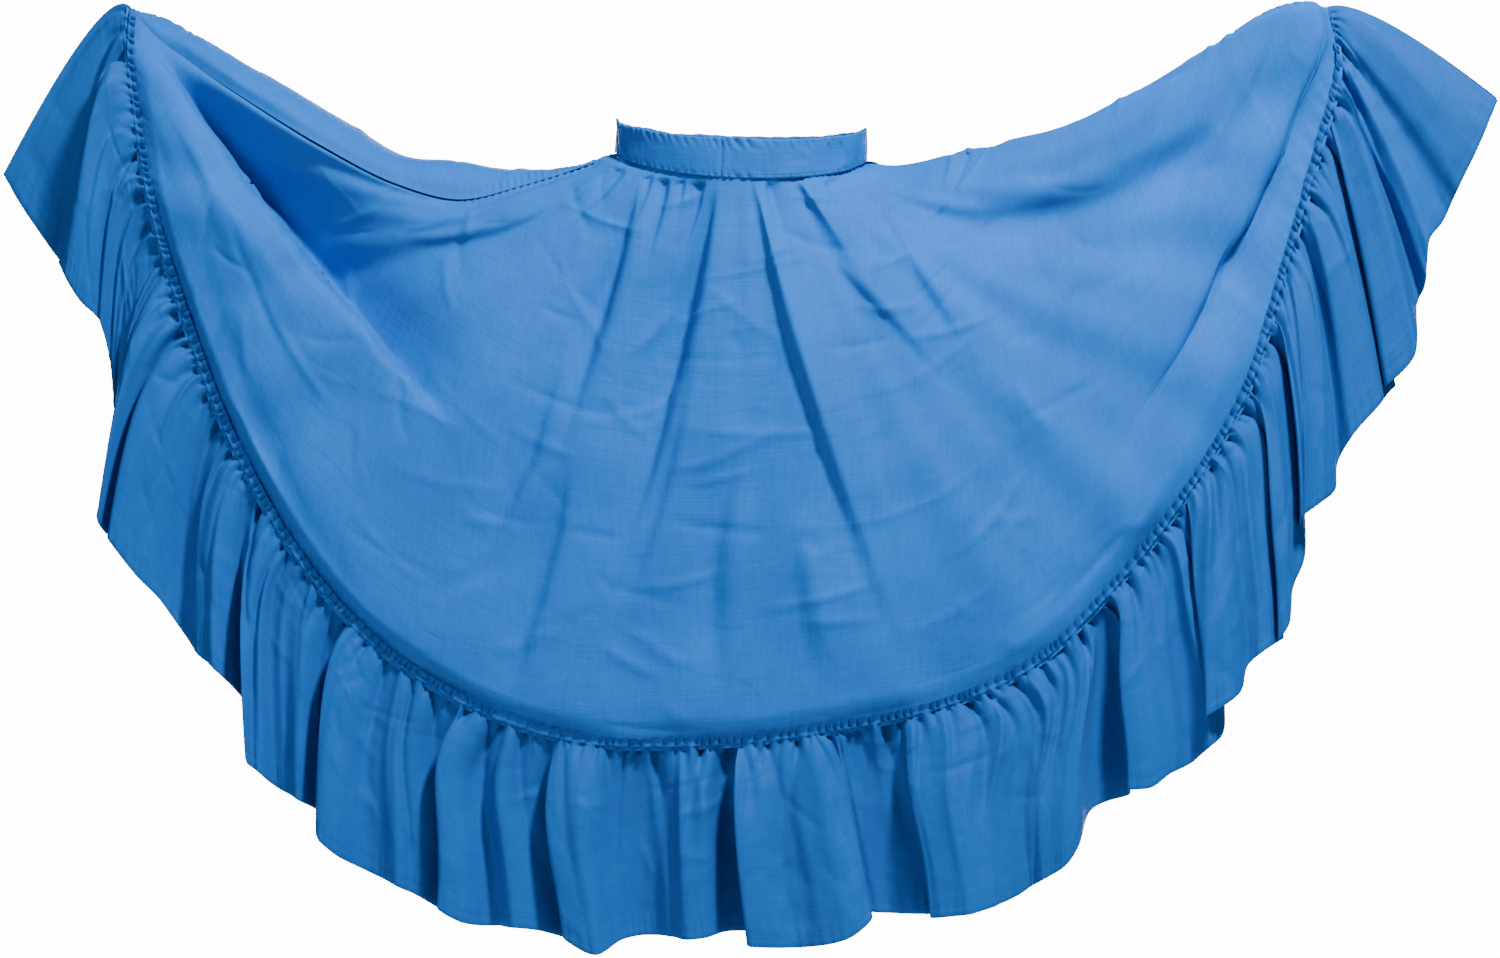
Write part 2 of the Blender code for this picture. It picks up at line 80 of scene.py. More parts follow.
WING_FADE_SHARE = 0.10
FOLD_FADE_SHARE = 0.012
FOLD_SEAM_FADE = 10
DROP_SEAM_FADE = 30
FOLD_STEPS = 60
DROP_END_EASE = 1.35
PUCKER_PITCH = 0.0125
SEAM_SINK = 0.0026
SEAM_SINK_REACH = 0.0040
OPENING_DOWN = 0.34
OPENING_PITCH = 0.0090
OPENING_TUCK = 0.0009
HANGING_DEPTH = 0.0125
FOLD_WANDER = 0.0085
TIP_FOLDS = ((0.014, -0.9, 0.02), (0.042, -1.3, 0.06), (0.078, 1.0, 0.05), (0.104, -0.9, 0.03))
LEFT_SEAM_FORWARD = 0.034
RIGHT_SEAM_BACK = 0.018
BACK_NARROWING = 0.965
BACK_LIFT = 0.022
SIDE_PARTING = 0.0002
WAIST_PARTING = 0.0002
WAIST_PARTING_DOWN = 0.08
WAIST_PARTING_REACH = 0.06
HOLD_PARTING = 0.0004
HOLD_CLOSING = 4
PARTING_FADE_SHARE = 0.02
HEADING = 0.012
HEADING_REACH = 0.1
RUFFLE_KICK = 0.045
RUFFLE_PUFF = 0.014
END_PUFF_SHARE = 0.02
FOLD_GROWTH = 0.55
FOLD_STEEPNESS = 2.6
SEAM_BULGE = 0.0042
LEFT_BULGE = 0.0120
BULGE_FROM = 0.006
BULGE_TO = 0.032
BULGE_FADE = 0.085
FOLD_EVENING = 34
HEM_FRONT_Y = -0.020
HEM_FRONT_BELLY = -0.150
HEM_BACK_Y = 0.022
HEM_BACK_BELLY = 0.190
HEM_END_RISE = 6.0
BACK_FOLD_SIDES = 36
BACK_FOLD_STAND = 0.032
BACK_FOLD_UNEVENNESS = 0.28
BACK_FOLD_SHIFT_TURN = 2.4
BACK_FOLD_STAND_TURN = 3.7
BACK_FOLD_STAND_CHANGE = 0.2
BACK_FOLD_DROOP = 0.010
BACK_FOLD_LEAN = 0.45

# Sheets as they are cut
BAND_THICKNESS = 0.0012
HEM_DEPTH = 0.008
SEAM_LENGTH = 2.53

# How finely each piece is drawn
PANEL_COLUMNS = {True: 500, False: 360}
PANEL_STEPS = {True: 192, False: 156}
RUFFLE_COLUMNS = {True: 1260, False: 900}
SEAM_WEIGHT = 0.55
HEADING_HEIGHTS = (0.0094, 0.0072, 0.0046, 0.0020)
GATHERED_DEPTHS = (0.0, 0.0022, 0.0050, 0.0090, 0.0140, 0.0200)
LOWER_ROWS = 54
LOWER_DEPTHS = tuple(0.0200 + (0.2500 - 0.0200) * row / LOWER_ROWS for row in range(1, LOWER_ROWS + 1))
HEM_TURN = ((0.2506, 0.0004), (0.2492, 0.0012), (0.2425, 0.0010))
HEM_THICKNESS = 0.0007
HEM_STITCH_ROW = -len(HEM_TURN) - 3
STITCH_SIDES = 5
STITCH_SEED = 17
BAND_STITCH_ROW = -3
BAND_STITCH_SHARE = 0.962
RUFFLE_DROP = 0.250

Seam = namedtuple("Seam", "x z front_y back_y")
SEAM = (
    Seam(-0.720, 0.175, 0.000, 0.000),
    Seam(-0.720, 0.130, -0.022, 0.022),
    Seam(-0.710, 0.050, -0.038, 0.042),
    Seam(-0.690, -0.060, -0.055, 0.062),
    Seam(-0.650, -0.190, -0.070, 0.084),
    Seam(-0.585, -0.350, -0.095, 0.112),
    Seam(-0.510, -0.475, -0.115, 0.138),
    Seam(-0.430, -0.565, -0.130, 0.158),
    Seam(-0.325, -0.635, -0.145, 0.178),
    Seam(-0.195, -0.680, -0.155, 0.192),
    Seam(-0.050, -0.685, -0.160, 0.200),
    Seam(0.125, -0.665, -0.157, 0.198),
    Seam(0.235, -0.640, -0.150, 0.190),
    Seam(0.335, -0.595, -0.140, 0.178),
    Seam(0.425, -0.510, -0.125, 0.158),
    Seam(0.510, -0.405, -0.105, 0.134),
    Seam(0.585, -0.280, -0.085, 0.108),
    Seam(0.630, -0.145, -0.062, 0.082),
    Seam(0.675, 0.005, -0.042, 0.056),
    Seam(0.700, 0.105, -0.026, 0.034),
    Seam(0.690, 0.175, 0.000, 0.000),
)

Wing = namedtuple("Wing", "share left_seam left_crest right_seam right_crest")
WINGS = (
    Wing(0.00, 0.002, 0.002, -0.012, -0.012),
    Wing(0.10, -0.020, -0.012, -0.020, -0.012),
    Wing(0.20, -0.038, -0.016, -0.012, 0.001),
    Wing(0.32, -0.054, -0.008, 0.000, 0.014),
    Wing(0.45, -0.036, 0.000, 0.022, 0.038),
    Wing(0.60, 0.008, 0.049, 0.062, 0.079),
    Wing(0.75, 0.061, 0.099, 0.112, 0.130),
    Wing(0.88, 0.111, 0.145, 0.154, 0.168),
    Wing(0.95, 0.142, 0.164, 0.166, 0.173),
    Wing(1.00, 0.175, 0.175, 0.175, 0.175),
)

# Folds of the panels: a curve through three places, how wide it is to its left and right, and how deep
Fold = namedtuple("Fold", "x0 z0 x1 z1 x2 z2 left right depth peak")
FRONT_FOLDS = (
    Fold(-0.712, 0.160, -0.626, -0.030, -0.470, -0.225, 0.018, 0.040, 0.022, 0.60),
    Fold(-0.700, 0.120, -0.640, -0.020, -0.590, -0.150, 0.012, 0.014, -0.007, 0.60),
    Fold(-0.640, 0.090, -0.440, -0.095, -0.230, -0.110, 0.030, 0.040, -0.010, 0.60),
    Fold(0.650, 0.105, 0.440, -0.050, 0.230, -0.075, 0.032, 0.026, -0.012, 0.60),
    Fold(-0.138, -0.022, -0.165, -0.055, -0.225, -0.110, 0.0030, 0.014, -0.0065, 0.42),
    Fold(-0.106, -0.030, -0.112, -0.055, -0.130, -0.105, 0.0020, 0.009, -0.0045, 0.42),
    Fold(-0.087, -0.034, -0.094, -0.075, -0.112, -0.150, 0.0022, 0.013, -0.0075, 0.42),
    Fold(-0.068, -0.036, -0.070, -0.055, -0.078, -0.100, 0.0020, 0.009, -0.0045, 0.42),
    Fold(-0.045, -0.038, -0.055, -0.080, -0.084, -0.170, 0.0022, 0.013, -0.0080, 0.42),
    Fold(0.030, -0.040, 0.038, -0.070, 0.056, -0.125, 0.0110, 0.0025, -0.0060, 0.42),
    Fold(0.686, 0.160, 0.598, -0.060, 0.500, -0.265, 0.0022, 0.0035, -0.007, 0.60),
    Fold(0.098, -0.036, 0.118, -0.060, 0.165, -0.100, 0.0130, 0.0030, -0.0060, 0.42),
)
BACK_FOLDS = (
    Fold(-0.680, 0.130, -0.540, -0.080, -0.320, -0.330, 0.042, 0.022, -0.026, 0.60),
    Fold(-0.640, -0.100, -0.520, -0.350, -0.370, -0.520, 0.030, 0.024, -0.014, 0.60),
    Fold(-0.620, 0.100, -0.420, -0.070, -0.220, -0.100, 0.032, 0.024, -0.012, 0.60),
    Fold(0.660, 0.130, 0.520, -0.090, 0.300, -0.340, 0.022, 0.044, -0.028, 0.60),
    Fold(0.620, -0.090, 0.500, -0.350, 0.340, -0.520, 0.024, 0.032, -0.014, 0.60),
    Fold(0.600, 0.090, 0.410, -0.060, 0.220, -0.090, 0.024, 0.032, -0.012, 0.60),
    Fold(-0.070, -0.100, -0.150, -0.360, -0.190, -0.620, 0.020, 0.036, -0.012, 0.60),
    Fold(0.000, -0.160, 0.020, -0.420, 0.015, -0.660, 0.016, 0.032, -0.010, 0.60),
    Fold(0.080, -0.100, 0.180, -0.350, 0.240, -0.600, 0.036, 0.018, -0.012, 0.60),
    Fold(-0.120, -0.020, -0.155, -0.075, -0.200, -0.130, 0.007, 0.012, -0.006, 0.42),
    Fold(-0.070, -0.025, -0.090, -0.100, -0.115, -0.180, 0.006, 0.012, -0.007, 0.42),
    Fold(-0.020, -0.028, -0.028, -0.100, -0.035, -0.180, 0.006, 0.010, -0.006, 0.42),
    Fold(0.035, -0.028, 0.045, -0.100, 0.060, -0.180, 0.010, 0.006, -0.007, 0.42),
    Fold(0.085, -0.024, 0.110, -0.085, 0.150, -0.150, 0.012, 0.006, -0.006, 0.42),
)

# Edges where one layer stands in front of the next; the cloth beyond them falls away and comes back slowly
Drop = namedtuple("Drop", "x0 z0 x1 z1 x2 z2 edge_from edge_to width_from width_to depth peak over")
FRONT_DROPS = (
    Drop(-0.708, 0.150, -0.532, -0.092, -0.330, -0.325, 0.0030, 0.013, 0.030, 0.105, 0.105, 1.1, 1.06),
    Drop(-0.425, -0.525, -0.545, -0.320, -0.650, -0.020, 0.016, 0.010, 0.060, 0.040, 0.010, 0.8, 0.0),
    Drop(0.684, 0.150, 0.598, -0.062, 0.425, -0.365, 0.009, 0.024, 0.026, 0.070, 0.034, 0.9, 0.9),
    Drop(0.533, -0.190, 0.468, -0.312, 0.320, -0.530, 0.016, 0.022, 0.060, 0.060, -0.016, 1.0, 0.0),
    Drop(-0.235, -0.430, -0.165, -0.225, -0.118, -0.034, 0.022, 0.0028, 0.080, 0.016, 0.028, 1.5, 0.5),
    Drop(-0.190, -0.620, -0.080, -0.300, -0.030, -0.037, 0.024, 0.0028, 0.105, 0.016, 0.042, 1.6, 0.6),
    Drop(-0.262, -0.640, -0.227, -0.498, -0.178, -0.350, 0.012, 0.008, 0.050, 0.030, 0.018, 1.0, 0.4),
    Drop(0.012, -0.036, 0.090, -0.325, 0.200, -0.620, 0.0025, 0.007, 0.014, 0.080, -0.023, 0.7, 0.0),
    Drop(0.065, -0.038, 0.102, -0.095, 0.180, -0.215, 0.0025, 0.010, 0.012, 0.050, -0.014, 0.6, 0.0),
    Drop(-0.014, -0.640, -0.022, -0.480, 0.006, -0.325, 0.012, 0.008, 0.060, 0.050, 0.019, 1.0, 0.0),
    Drop(0.058, -0.410, 0.076, -0.521, 0.096, -0.630, 0.008, 0.012, 0.050, 0.060, -0.015, 1.0, 0.0),
    Drop(0.105, -0.130, 0.165, -0.190, 0.240, -0.275, 0.004, 0.006, 0.030, 0.040, -0.010, 0.9, 0.0),
    Drop(0.160, -0.060, 0.215, -0.160, 0.300, -0.290, 0.004, 0.008, 0.030, 0.050, -0.008, 0.9, 0.0),
    Drop(-0.130, -0.560, -0.080, -0.400, -0.045, -0.230, 0.006, 0.004, 0.040, 0.030, 0.010, 1.0, 0.3),
    Drop(-0.300, -0.500, -0.245, -0.360, -0.200, -0.200, 0.008, 0.005, 0.060, 0.040, 0.012, 1.0, 0.3),
    Drop(0.330, 0.012, 0.445, 0.062, 0.535, 0.098, 0.003, 0.003, 0.020, 0.020, 0.010, 0.7, 0.0),
    Drop(0.545, 0.036, 0.480, -0.004, 0.365, -0.038, 0.014, 0.018, 0.050, 0.055, 0.013, 1.0, 0.0),
    Drop(0.480, -0.024, 0.315, -0.071, 0.145, -0.050, 0.014, 0.012, 0.060, 0.050, 0.018, 1.0, 0.0),
    Drop(-0.160, -0.030, -0.285, -0.094, -0.400, -0.100, 0.010, 0.014, 0.040, 0.050, 0.014, 1.0, 0.3),
)

# The folds of the front ruffle at its hem; a ridge stands out, a valley stands in
Hem = namedtuple("Hem", "share x z stand")
FRONT_HEM = (
    Hem(0.000, -0.869, -0.022, 0.000),
    Hem(0.007, -0.848, -0.058, -0.010),
    Hem(0.015, -0.816, -0.103, -0.004),
    Hem(0.023, -0.792, -0.137, -0.026),
    Hem(0.029, -0.797, -0.128, 0.026),
    Hem(0.056, -0.770, -0.173, 0.018),
    Hem(0.078, -0.747, -0.198, 0.004),
    Hem(0.099, -0.736, -0.256, -0.022),
    Hem(0.116, -0.730, -0.336, -0.020),
    Hem(0.127, -0.735, -0.371, 0.012),
    Hem(0.144, -0.745, -0.426, 0.020),
    Hem(0.157, -0.730, -0.450, -0.006),
    Hem(0.161, -0.733, -0.447, 0.022),
    Hem(0.174, -0.699, -0.491, 0.014),
    Hem(0.189, -0.673, -0.519, -0.002),
    Hem(0.200, -0.649, -0.556, -0.024),
    Hem(0.212, -0.630, -0.581, -0.002),
    Hem(0.228, -0.608, -0.598, 0.012),
    Hem(0.240, -0.570, -0.651, -0.030),
    Hem(0.250, -0.569, -0.698, 0.028),
    Hem(0.264, -0.549, -0.720, 0.022),
    Hem(0.276, -0.535, -0.735, -0.010),
    Hem(0.292, -0.511, -0.747, 0.008),
    Hem(0.308, -0.484, -0.769, -0.030),
    Hem(0.315, -0.487, -0.784, 0.030),
    Hem(0.326, -0.466, -0.807, 0.024),
    Hem(0.339, -0.429, -0.830, -0.008),
    Hem(0.353, -0.393, -0.846, 0.010),
    Hem(0.364, -0.368, -0.859, -0.004),
    Hem(0.374, -0.340, -0.879, -0.030),
    Hem(0.379, -0.348, -0.869, 0.026),
    Hem(0.386, -0.318, -0.886, 0.020),
    Hem(0.394, -0.288, -0.892, -0.014),
    Hem(0.402, -0.266, -0.892, 0.012),
    Hem(0.410, -0.236, -0.895, 0.004),
    Hem(0.418, -0.195, -0.910, -0.028),
    Hem(0.424, -0.204, -0.902, 0.026),
    Hem(0.437, -0.167, -0.921, 0.034),
    Hem(0.451, -0.135, -0.907, -0.018),
    Hem(0.462, -0.111, -0.903, -0.026),
    Hem(0.475, -0.084, -0.903, -0.010),
    Hem(0.483, -0.066, -0.905, 0.018),
    Hem(0.491, -0.041, -0.903, 0.012),
    Hem(0.499, -0.016, -0.898, -0.020),
    Hem(0.505, 0.012, -0.899, -0.034),
    Hem(0.509, 0.005, -0.910, 0.034),
    Hem(0.516, 0.038, -0.913, 0.028),
    Hem(0.524, 0.066, -0.914, 0.008),
    Hem(0.530, 0.091, -0.911, 0.020),
    Hem(0.540, 0.123, -0.902, 0.026),
    Hem(0.546, 0.150, -0.880, 0.016),
    Hem(0.557, 0.145, -0.876, -0.020),
    Hem(0.567, 0.170, -0.878, -0.026),
    Hem(0.578, 0.218, -0.880, -0.030),
    Hem(0.584, 0.214, -0.880, 0.024),
    Hem(0.604, 0.257, -0.875, 0.032),
    Hem(0.620, 0.297, -0.864, 0.014),
    Hem(0.635, 0.320, -0.854, 0.004),
    Hem(0.649, 0.340, -0.840, 0.018),
    Hem(0.665, 0.367, -0.823, 0.026),
    Hem(0.677, 0.386, -0.799, 0.020),
    Hem(0.681, 0.399, -0.763, -0.010),
    Hem(0.686, 0.424, -0.751, -0.034),
    Hem(0.691, 0.449, -0.744, -0.030),
    Hem(0.697, 0.440, -0.736, 0.022),
    Hem(0.708, 0.466, -0.734, 0.026),
    Hem(0.717, 0.493, -0.717, 0.004),
    Hem(0.725, 0.516, -0.709, -0.016),
    Hem(0.734, 0.535, -0.690, 0.004),
    Hem(0.744, 0.556, -0.672, -0.014),
    Hem(0.749, 0.560, -0.651, -0.034),
    Hem(0.754, 0.530, -0.653, 0.020),
    Hem(0.764, 0.554, -0.639, 0.028),
    Hem(0.774, 0.576, -0.621, 0.014),
    Hem(0.781, 0.581, -0.599, 0.002),
    Hem(0.791, 0.599, -0.580, 0.010),
    Hem(0.804, 0.628, -0.565, -0.020),
    Hem(0.816, 0.617, -0.567, 0.016),
    Hem(0.822, 0.632, -0.546, 0.016),
    Hem(0.828, 0.636, -0.509, 0.002),
    Hem(0.834, 0.653, -0.475, -0.020),
    Hem(0.840, 0.657, -0.452, -0.034),
    Hem(0.849, 0.644, -0.431, 0.024),
    Hem(0.872, 0.665, -0.410, 0.026),
    Hem(0.884, 0.689, -0.390, 0.010),
    Hem(0.892, 0.692, -0.365, -0.004),
    Hem(0.899, 0.705, -0.336, 0.008),
    Hem(0.910, 0.738, -0.298, 0.010),
    Hem(0.924, 0.755, -0.280, -0.014),
    Hem(0.934, 0.767, -0.271, -0.030),
    Hem(0.946, 0.747, -0.273, 0.022),
    Hem(0.953, 0.784, -0.234, 0.024),
    Hem(0.958, 0.788, -0.198, 0.004),
    Hem(0.962, 0.790, -0.178, -0.010),
    Hem(0.968, 0.799, -0.154, 0.010),
    Hem(0.974, 0.802, -0.103, 0.014),
    Hem(0.979, 0.822, -0.080, -0.012),
    Hem(0.987, 0.840, -0.037, 0.006),
    Hem(0.990, 0.862, 0.008, 0.008),
    Hem(0.995, 0.881, 0.050, 0.000),
    Hem(1.000, 0.889, 0.065, 0.000),
)

Edge = namedtuple("Edge", "share x z")
BACK_EDGE = (
    Edge(0.00, -0.868, -0.022),
    Edge(0.06, -0.738, -0.190),
    Edge(0.13, -0.695, -0.335),
    Edge(0.20, -0.630, -0.510),
    Edge(0.28, -0.535, -0.670),
    Edge(0.38, -0.330, -0.835),
    Edge(0.50, 0.000, -0.895),
    Edge(0.62, 0.270, -0.845),
    Edge(0.72, 0.465, -0.705),
    Edge(0.80, 0.580, -0.560),
    Edge(0.88, 0.665, -0.375),
    Edge(0.94, 0.745, -0.225),
    Edge(1.00, 0.888, 0.068),
)


class SkirtCloth(bpy.types.PropertyGroup):
    colour: bpy.props.FloatVectorProperty(
        name="Cloth colour", description="Dye of the cloth", subtype="COLOR", size=3,
        default=(0.008, 0.120, 0.472), min=0.0, max=1.0)
    roughness: bpy.props.FloatProperty(
        name="Roughness", description="How matt the weave is", default=0.56, min=0.0, max=1.0)
    sheen: bpy.props.FloatProperty(
        name="Sheen", description="Strength of the soft sheen", default=0.02, min=0.0, max=1.0)
    thread: bpy.props.FloatProperty(
        name="Thread pitch", description="Distance between two threads of the weave", default=0.0007,
        min=0.0002, max=0.003, subtype="DISTANCE", unit="LENGTH")
    crumple: bpy.props.FloatProperty(
        name="Crumple", description="How much the cloth is creased from wear", default=1.0, min=0.0, max=3.0)


class SkirtSewing(bpy.types.PropertyGroup):
    gather_pitch: bpy.props.FloatProperty(
        name="Gather pitch", description="Distance between two gathers on the stitched line",
        default=0.0105, min=0.006, max=0.03, subtype="DISTANCE", unit="LENGTH")
    gather_depth: bpy.props.FloatProperty(
        name="Gather depth", description="How deep a gather is just below the stitched line",
        default=0.0088, min=0.0, max=0.02, subtype="DISTANCE", unit="LENGTH")
    heading_wave: bpy.props.FloatProperty(
        name="Heading wave", description="How far the frill above the stitched line stands out",
        default=0.0052, min=0.0, max=0.02, subtype="DISTANCE", unit="LENGTH")
    stitch_pitch: bpy.props.FloatProperty(
        name="Stitch pitch", description="Distance from one stitch to the next", default=0.0034,
        min=0.001, max=0.01, subtype="DISTANCE", unit="LENGTH")
    stitch_length: bpy.props.FloatProperty(
        name="Stitch length", description="Length of thread that shows at each stitch", default=0.0024,
        min=0.0005, max=0.008, subtype="DISTANCE", unit="LENGTH")
    thread_radius: bpy.props.FloatProperty(
        name="Thread radius", description="Radius of the sewing thread", default=0.00022,
        min=0.0001, max=0.001, subtype="DISTANCE", unit="LENGTH")


class SkirtStudio(bpy.types.PropertyGroup):
    key_power: bpy.props.FloatProperty(
        name="Main light", description="Power of the large light above the front", default=372.0, min=0.0,
        unit="POWER")
    fill_power: bpy.props.FloatProperty(
        name="Fill light", description="Power of the weak light at the left", default=66.0, min=0.0, unit="POWER")
    surround: bpy.props.FloatProperty(
        name="Surround", description="Brightness of the white surround", default=0.018, min=0.0)
    backdrop: bpy.props.FloatProperty(
        name="Backdrop", description="Brightness of the white wall behind", default=14.0, min=0.0)


def column(rows, name):
    return np.array([getattr(row, name) for row in rows])


def smooth(knots, values, at):
    """A cubic curve through the values, read at any place between the first knot and the last."""
    slopes = np.gradient(values, knots, axis=0)
    return hermite(knots, values, slopes, at)


def hermite(knots, values, slopes, at):
    place = np.clip(np.searchsorted(knots, at, side="right") - 1, 0, len(knots) - 2)
    step = knots[place + 1] - knots[place]
    share = (at - knots[place]) / step
    rise = share * share * (3 - 2 * share)
    leave = share * (1 - share) ** 2 * step
    arrive = share * share * (share - 1) * step
    return (values[place] * (1 - rise) + values[place + 1] * rise
            + slopes[place] * leave + slopes[place + 1] * arrive)


def steady(knots, values, at):
    """The same, with no overshoot: the curve turns only at its knots."""
    gaps = np.diff(knots)
    rates = np.diff(values) / gaps
    slopes = np.zeros_like(values)
    same_way = rates[:-1] * rates[1:] > 0
    first = 2 * gaps[1:] + gaps[:-1]
    second = gaps[1:] + 2 * gaps[:-1]
    safe_low = np.where(same_way, rates[:-1], 1.0)
    safe_high = np.where(same_way, rates[1:], 1.0)
    slopes[1:-1] = np.where(same_way, (first + second) / (first / safe_low + second / safe_high), 0.0)
    slopes[0], slopes[-1] = rates[0], rates[-1]
    return hermite(knots, values, slopes, at)


def seam_shares():
    """How far along the stitched line each row of SEAM lies, from 0 to 1."""
    steps = np.hypot(np.diff(column(SEAM, "x")), np.diff(column(SEAM, "z")))
    lengths = np.concatenate([[0.0], np.cumsum(steps)])
    return lengths / lengths[-1]


def seam_point(front, share):
    knots = seam_shares()
    x = smooth(knots, column(SEAM, "x"), share)
    z = smooth(knots, column(SEAM, "z"), share)
    if front:
        return x, smooth(knots, column(SEAM, "front_y"), share), z
    inside = np.sin(np.pi * share)
    narrowing = 1 - (1 - BACK_NARROWING) * inside
    return x * narrowing, smooth(knots, column(SEAM, "back_y"), share), z + BACK_LIFT * inside


def band_bottom(angle):
    """Height of the band's lower edge; the angle runs from 0 at the front to 90 degrees at the right."""
    facing = np.cos(angle)
    front_dip = (BAND_FRONT_Z - BAND_SIDE_Z) * np.maximum(facing, 0)
    back_dip = (BAND_BACK_Z - BAND_SIDE_Z) * np.maximum(-facing, 0)
    return BAND_SIDE_Z + front_dip + back_dip - BAND_LEFT_RAISE * np.sin(angle)


def waist_angle(front, share):
    turn = np.pi * (share - 0.5)
    return turn if front else np.pi - turn


def waist_point(angle, outward):
    x = (WAIST_HALF_WIDTH + outward) * np.sin(angle)
    y = -(WAIST_HALF_DEPTH + outward) * np.cos(angle)
    return x, y, band_bottom(angle)


def arch(down):
    return 4 * down * (1 - down)


def wing_heights(side, down):
    knots = column(WINGS, "share")
    seam = smooth(knots, column(WINGS, side + "_seam"), down)
    crest = smooth(knots, column(WINGS, side + "_crest"), down)
    return seam, crest


def chord(front, share, down):
    """The straight line from just below the band to the stitched line."""
    start_x, start_y, bottom = waist_point(waist_angle(front, share), 0.0)
    start = start_x, start_y, bottom - PANEL_BELOW_BAND
    end = seam_point(front, share)
    return tuple(a * (1 - down) + b * down for a, b in zip(start, end))


def crest_share(down):
    """How far in from the side seam the crest lies; the two meet where the skirt is held."""
    return CREST_SHARE * (1 - down ** CREST_CLOSING)


def sag(front, share, down, side):
    """How far the wing at this side pulls the cloth below its straight line."""
    inward = share if side == "left" else 1 - share
    holds_crest = front == (side == "right")
    seam, crest = wing_heights(side, down)
    edge = crest_share(down) if holds_crest else np.zeros_like(down)
    edge_z = chord(front, edge if side == "left" else 1 - edge, down)[2]
    drop = edge_z - (crest if holds_crest else seam)
    fade = np.clip(1 - 2 * (inward - edge), 0, 1) ** SAG_FADE
    return drop * fade * np.minimum(down / SAG_START, 1)


def over_crest(points, front, share, down, side):
    """Between its side seam and its crest the panel rolls over the top of the wing."""
    x, y, z = points
    inward = share if side == "left" else 1 - share
    seam, crest = wing_heights(side, down)
    edge_x, edge_y, _ = chord(front, np.full_like(share, 0.0 if side == "left" else 1.0), down)
    forward = LEFT_SEAM_FORWARD if side == "left" else -RIGHT_SEAM_BACK
    edge_y = edge_y - forward * arch(down)
    width = np.maximum(crest_share(down), 1e-6)
    rolled = np.clip(inward / width, 0, 1)
    turn = rolled * np.pi / 2
    inside = rolled < 1
    x = np.where(inside, edge_x + (x - edge_x) * rolled, x)
    y = np.where(inside, edge_y + (y - edge_y) * (1 - np.cos(turn)), y)
    z = np.where(inside, seam + (crest - seam) * np.sin(turn), z)
    return x, y, z


def beside_line(line, x, z, reach):
    """For places near a line through three points: which they are, how far off it to its right, how far along,
    and which way its right is. That is the viewer's right of a line that runs down.
    """
    run = np.linspace(0, 1, FOLD_STEPS)
    bend_x = 2 * line.x1 - (line.x0 + line.x2) / 2
    bend_z = 2 * line.z1 - (line.z0 + line.z2) / 2
    line_x = (1 - run) ** 2 * line.x0 + 2 * run * (1 - run) * bend_x + run ** 2 * line.x2
    line_z = (1 - run) ** 2 * line.z0 + 2 * run * (1 - run) * bend_z + run ** 2 * line.z2
    near = (x > line_x.min() - reach) & (x < line_x.max() + reach)
    near &= (z > line_z.min() - reach) & (z < line_z.max() + reach)
    near_x, near_z = x[near], z[near]
    nearest = np.argmin(np.hypot(near_x[:, None] - line_x, near_z[:, None] - line_z), axis=-1)
    step_x, step_z = np.gradient(line_x)[nearest], np.gradient(line_z)[nearest]
    step = np.hypot(step_x, step_z)
    right, up = near_x - line_x[nearest], near_z - line_z[nearest]
    further = np.clip((right * step_x + up * step_z) / step ** 2, -0.5, 0.5)
    place = np.clip(run[nearest] + further / (FOLD_STEPS - 1), 0, 1)
    right, up = right - further * step_x, up - further * step_z
    side = np.where(step_x * up - step_z * right > 0, 1.0, -1.0)
    return near, side * np.hypot(right, up), place, (-step_z / step, step_x / step)


def fold_height(folds, x, z):
    """How far the folds move the cloth out, at these places seen from the front."""
    total = np.zeros_like(x)
    for fold in folds:
        near, off, place, _ = beside_line(fold, x, z, 3 * max(fold.left, fold.right))
        width = np.where(off > 0, fold.left, fold.right)
        strength = np.sin(np.pi * place ** fold.peak)
        total[near] += fold.depth * strength * np.exp(-(off / width) ** 2)
    return total


def drop_height(drops, x, z):
    """How far the cloth falls away beyond the edges of the layers in front of it."""
    total = np.zeros_like(x)
    for drop in drops:
        near, off, place, _ = beside_line(drop, x, z, 3.5 * max(drop.width_from, drop.width_to))
        edge = drop.edge_from + (drop.edge_to - drop.edge_from) * place
        width = drop.width_from + (drop.width_to - drop.width_from) * place
        strength = np.sin(np.pi * place ** drop.peak) ** DROP_END_EASE
        fallen = 0.5 + 0.5 * np.tanh(off / edge)
        back = np.exp(-(np.maximum(off, 0) / width) ** 1.3)
        total[near] -= drop.depth * strength * fallen * back
    return total


def reach_over(drops, x, z):
    """Draws the fall behind each edge together, so that the layer in front stands over it: moves across and up."""
    across, upward = np.zeros_like(x), np.zeros_like(x)
    for drop in drops:
        near, off, place, (right, up) = beside_line(drop, x, z, 6 * max(drop.edge_from, drop.edge_to))
        edge = 2 * (drop.edge_from + (drop.edge_to - drop.edge_from) * place)
        ends = np.clip(np.minimum(place, 1 - place) / 0.12, 0, 1)
        move = -drop.over * ends * off * np.exp(-(off / edge) ** 2)
        across[near] += move * right
        upward[near] += move * up
    return across, upward


